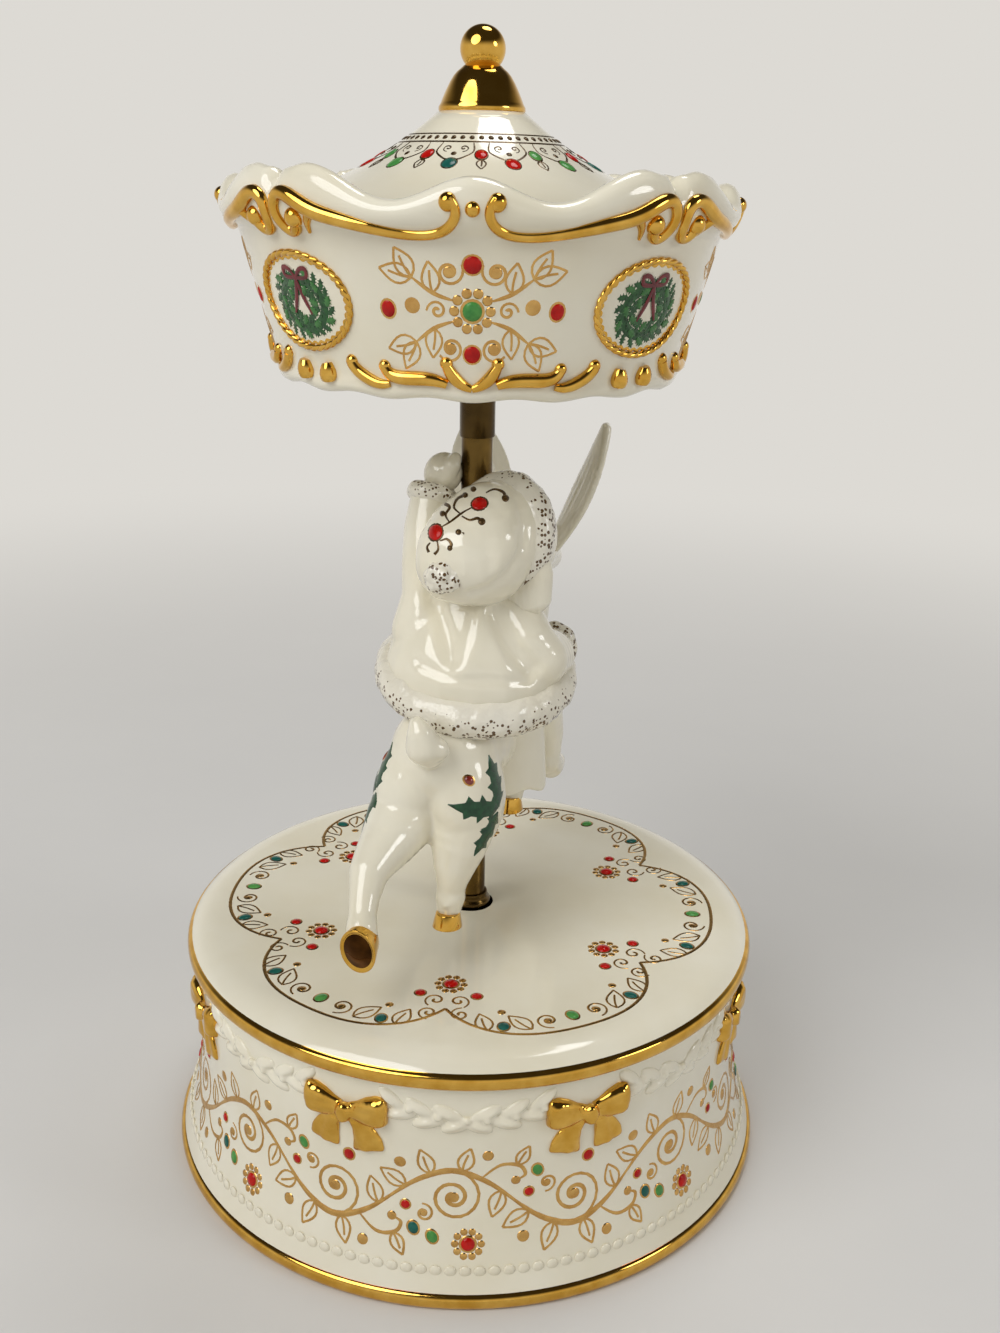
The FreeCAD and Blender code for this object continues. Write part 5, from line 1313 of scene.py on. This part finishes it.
quarter = wall_radius * math.pi / 2
wreath_wide, wreath_high, wreath_leaves = 4.7, 3.4, 22
wreath_dark, wreath_light, ribbon_lines, frame_edges = [], [], [], []
for panel in range(panels):
    u, v = quarter * (panel + 0.5), medallion_height - 0.5
    circle = [math.tau * step / 72 for step in range(73)]
    wreath_dark.append([(u + wreath_wide * math.cos(turn), v + wreath_high * math.sin(turn), 1.7)
                        for turn in circle])
    edge = []
    for step in range(rope_steps + 1):
        turn = math.tau * step / rope_steps
        notch = 0.16 * math.cos(2 * rope_turns * turn)
        edge.append((u + (8.95 + notch) * math.cos(turn),
                     medallion_height + (6.05 + notch) * math.sin(turn), 0.55))
    frame_edges.append(edge)
    for number in range(wreath_leaves):
        turn = math.tau * number / wreath_leaves
        for row, (reach, lean) in enumerate(((0.8, 66), (0.98, 12), (1.14, -40))):
            jog = 0.05 * math.sin(7.3 * number + 5 * reach)
            x = u + wreath_wide * (reach + jog) * math.cos(turn)
            y = v + wreath_high * (reach + jog) * math.sin(turn)
            way = turn + math.radians(90 + lean + 16 * math.sin(5.1 * number + row))
            tip = (x + 1.9 * math.cos(way), y + 1.7 * math.sin(way))
            greens = wreath_light if (number + 2 * row) % 4 == 0 else wreath_dark
            greens.append(spiny_leaf((x, y), tip, 0.72, 1))
    knot = v + 3.7
    for side in (1, -1):
        ribbon_lines.append(curve([(u, knot), (u + 1.2 * side, knot + 1.2), (u + 2.5 * side, knot + 1.3),
                                   (u + 2.3 * side, knot + 0.2), (u, knot)], 0.7, 0.7))
        ribbon_lines.append(curve([(u, knot), (u + 0.7 * side, knot - 2.4), (u + 2.0 * side, knot - 5.0)],
                                  0.75, 0.5))


def over_wreath(along, up, rise):
    """A point just over the dark leaves."""
    return on_panels(along, up, rise + 0.1)


def over_leaves(along, up, rise):
    """A point just over the light leaves."""
    return on_panels(along, up, rise + 0.2)


wreath_green = finish("wreath_green", (34, 92, 40), (18, 62, 28), 1400, 0.14, 0.26)
leaf_green = finish("leaf_green", (64, 124, 58), (42, 100, 44), 1400, 0.14, 0.26)
ribbon_red = finish("ribbon_red", (122, 30, 36), (88, 18, 26), 900, 0.14, 0.24)
for name, place, lines, colour in (("medallion_wreaths", on_panels, wreath_dark, wreath_green),
                                   ("wreath_leaves", over_wreath, wreath_light, leaf_green),
                                   ("medallion_ribbons", over_leaves, ribbon_lines, ribbon_red)):
    mount(lay_print(name, place, lines, []), "turntable", "porcelain", (colour,))
mount(lay_print("medallion_edges", on_panels, frame_edges, []), "turntable", "gilding", (gilding,))

# Panel decoration: a green enamel drop in a beaded setting at each panel's middle, with gold laurel
# sprays, curls and red drops about it, printed and fired over the glaze.

panel_lines, panel_drops = [], []
for panel in range(panels):
    u, v = quarter * panel, 153.8
    for side in (1, -1):
        for rise in (1, -1):
            stem = [(u + 2.6 * side, v + 1.4 * rise), (u + 5.4 * side, v + 2.4 * rise),
                    (u + 8.2 * side, v + 4.4 * rise)]
            panel_lines.append(curve(stem, 0.75))
            for (x, y), spread, length in ((stem[1], 84, 4.2), (stem[2], 62, 4.4), (stem[2], 14, 4.6)):
                way = 90 - (90 - spread) * side
                panel_lines += laurel(x, y, way * rise, length, 0.29 * length, 0.42)
            panel_lines.append(spiral(u + 3.1 * side, v + 5.2 * rise, 2.0, 90 * rise + 60 * side, 1.6, 0.75,
                                      side * rise))
            panel_drops.append(gold_dot(u + 3.1 * side, v + 5.2 * rise, 0.85))
        panel_lines.append(spiral(u + 4.9 * side, v, 1.5, 90 - 90 * side, 1.4, 0.65, side))
        panel_drops += cabochon(u + 12.0 * side, v, 1.1, RED, 0, 1.15)
        panel_drops.append(gold_dot(u + 8.4 * side, v + 0.6, 1.15))
    panel_drops += rosette(u, v, GREEN, 1.2)
    panel_drops += cabochon(u, v + 6.2, 1.3, RED, 0, 1.0) + cabochon(u, v - 6.0, 1.3, RED, 0, 1.0)
panel_print = lay_print("panel_print", on_panels, panel_lines, panel_drops)
mount(panel_print, "turntable", "gilding", enamels)

# Roof decoration: a beaded band between two dark gold lines, with little swags of gold line and enamel
# drops below it. It is printed round the upper part of the roof and fired over the glaze.


def on_roof(along, up, rise):
    """A point on the roof, from its middle in mm."""
    return Vector((along, up, roof_height(math.hypot(along, up)) + rise)) * mm


roof_lines, roof_drops = [], []
band_steps, band_beads, bead_ring = 96, 54, 12.05
for radius, width in ((11.2, 0.4), (12.9, 0.6)):
    circle = [math.tau * step / band_steps for step in range(band_steps + 1)]
    roof_lines.append([(radius * math.sin(turn), -radius * math.cos(turn), width) for turn in circle])
for number in range(band_beads):
    turn = math.tau * number / band_beads
    roof_drops.append(gold_dot(bead_ring * math.sin(turn), -bead_ring * math.cos(turn), 0.44, 0.2))
roof_bays = 12
roof_swag = ((2.3, -12.9), (2.8, -14.9), (1.4, -16.6), (0.2, -17.1))
for number in range(roof_bays):
    turn = math.tau * (number + 0.5) / roof_bays
    half = math.pi / roof_bays
    lines = [curve([(x * side, y) for x, y in roof_swag], 0.5) for side in (1, -1)]
    lines += [spiral(1.2 * side, -14.3, 0.85, -90, 1.2, 0.4, side) for side in (1, -1)]
    roof_lines += [turned_about(line, turn) for line in lines]
    roof_drops += turned_drops(cabochon(0, -18.0, 1.2, (RED, GREEN, TEAL)[number % 3], 0, 1.15), turn)
    roof_drops += turned_drops([gold_dot(0, -15.6, 0.5)], turn)
    roof_drops += turned_drops(cabochon(0, -15.8, 1.0, (GREEN, RED, RED)[number % 3], 0, 1.15), turn + half)
    roof_lines += [turned_about(line, turn + half) for line in laurel(0, -17.0, -90, 2.4, 0.7, 0.4)]
roof_print = lay_print("roof_print", on_roof, roof_lines, roof_drops)
mount(roof_print, "turntable", "gilding", (dark_gold,) + enamels[1:])

# Finial: a turned bell with a ball on top, gilded all over. It is screwed down on the tie rod's end and
# so holds the canopy on the pole.

ball_centre, ball_radius = 189.8, 3.5
finial_outline = [(1.6, 180.8), (6.6, 180.8), (6.75, 181.0), (6.72, 181.5), (6.45, 181.95), (6.36, 182.15),
                  (6.1, 182.8), (5.6, 183.9), (5.05, 185.0), (4.5, 185.9), (4.0, 186.5), (3.5, 186.9),
                  (3.2, 187.15), (2.95, 187.4)]
for step in range(17):
    turn = math.radians(-40 + 128 * step / 16)
    finial_outline.append((ball_radius * math.cos(turn), ball_centre + ball_radius * math.sin(turn)))
finial = turned("finial_gilt", finial_outline, sides=72, crease=60)
mount(finial, "turntable", "gilding", (gilding,), "finial")

# Studio: a pale table top that runs out into a pale surround, darker overhead, lit by a large soft lamp
# high on the left in front, a weaker one on the right and one above.

horizon, zenith, backdrop_light, room_strength = paint(226, 223, 217), paint(62, 58, 52), 0.95, 0.42
table = finish("pale_table", (222, 221, 219), (216, 215, 213), 8, 0.6, 0.75)


def seen_rays(tree):
    """A node whose value is 1 for what the camera, metal or glass sees, and 0 for what only lights the
    object."""
    rays = add_node(tree, "ShaderNodeLightPath")
    direct = add_node(tree, "ShaderNodeMath", operation="MAXIMUM")
    seen = add_node(tree, "ShaderNodeMath", operation="MAXIMUM")
    wire(rays, "Is Camera Ray", direct, 0)
    wire(rays, "Is Glossy Ray", direct, 1)
    wire(direct, "Value", seen, 0)
    wire(rays, "Is Transmission Ray", seen, 1)
    return seen


top = table.node_tree
sheet_end = add_node(top, "ShaderNodeEmission", {"Color": horizon, "Strength": backdrop_light})
spot = add_node(top, "ShaderNodeTexCoord")
away = add_node(top, "ShaderNodeVectorMath", operation="LENGTH")
sweep = add_node(top, "ShaderNodeMapRange", {"From Min": 0.1, "From Max": 0.6},
                 interpolation_type="SMOOTHSTEP")
fade = add_node(top, "ShaderNodeMath", operation="MULTIPLY")
both = add_node(top, "ShaderNodeMixShader")
wire(spot, "Object", away, 0)
wire(away, "Value", sweep, "Value")
wire(sweep, "Result", fade, 0)
wire(seen_rays(top), "Value", fade, 1)
wire(fade, "Value", both, 0)
wire(top.nodes["Principled BSDF"], "BSDF", both, 1)
wire(sheet_end, "Emission", both, 2)
wire(both, "Shader", top.nodes["Material Output"], "Surface")
bpy.ops.mesh.primitive_circle_add(vertices=96, radius=3.0, fill_type="NGON")
floor = bpy.context.object
floor.name = "table_top"
floor.data.materials.append(table)
world = bpy.data.worlds.new("studio")
bpy.context.scene.world = world
world.use_nodes = True
air = world.node_tree
room_light = air.nodes["Background"]
room_light.inputs["Color"].default_value = horizon
room_light.inputs["Strength"].default_value = room_strength
backdrop = add_node(air, "ShaderNodeBackground", {"Strength": backdrop_light})
way = add_node(air, "ShaderNodeTexCoord")
axes = add_node(air, "ShaderNodeSeparateXYZ")
climb = add_node(air, "ShaderNodeMapRange", {"From Min": 0.14, "From Max": 0.6},
                 interpolation_type="SMOOTHSTEP")
shade = add_node(air, "ShaderNodeMix", {6: horizon, 7: zenith}, data_type="RGBA")
either = add_node(air, "ShaderNodeMixShader")
wire(way, "Generated", axes, "Vector")
wire(axes, "Z", climb, "Value")
wire(climb, "Result", shade, 0)
wire(shade, 2, backdrop, "Color")
wire(seen_rays(air), "Value", either, 0)
wire(room_light, "Background", either, 1)
wire(backdrop, "Background", either, 2)
wire(either, "Shader", air.nodes["World Output"], "Surface")
target = Vector((0, 0, 0.1))
lamps = (("window_lamp", (-0.42, -0.42, 0.62), 0.6, 3.5), ("right_lamp", (0.6, -0.25, 0.4), 0.22, 0.7),
         ("top_lamp", (0.12, 0.2, 0.8), 0.3, 1.2))
for name, spot, size, power in lamps:
    lamp = bpy.data.lights.new(name, "AREA")
    lamp.shape = "DISK"
    lamp.size = size
    lamp.energy = power
    stand = as_piece(name, lamp)
    stand.location = spot
    stand.rotation_mode = "QUATERNION"
    stand.rotation_quaternion = (target - Vector(spot)).to_track_quat("-Z", "Y")

# Camera: at the height of the canopy's rim, close in front, looking down a little at the whole box. It is
# tilted by about one degree, as a hand-held camera is.

lens = bpy.data.cameras.new("camera")
lens.sensor_width = 36
lens.lens = 37.27
lens.clip_start = 0.01
camera = as_piece("camera", lens)
yaw, pitch, roll = math.radians(1.149), math.radians(19.168), math.radians(1.225)
camera.matrix_world = (Matrix.Translation((0, -0.22935, 0.17002)) @ Matrix.Rotation(-yaw, 4, "Z")
                       @ Matrix.Rotation(math.pi / 2 - pitch, 4, "X") @ Matrix.Rotation(roll, 4, "Z"))
scene = bpy.context.scene
scene.camera = camera
scene.view_settings.view_transform = "Standard"
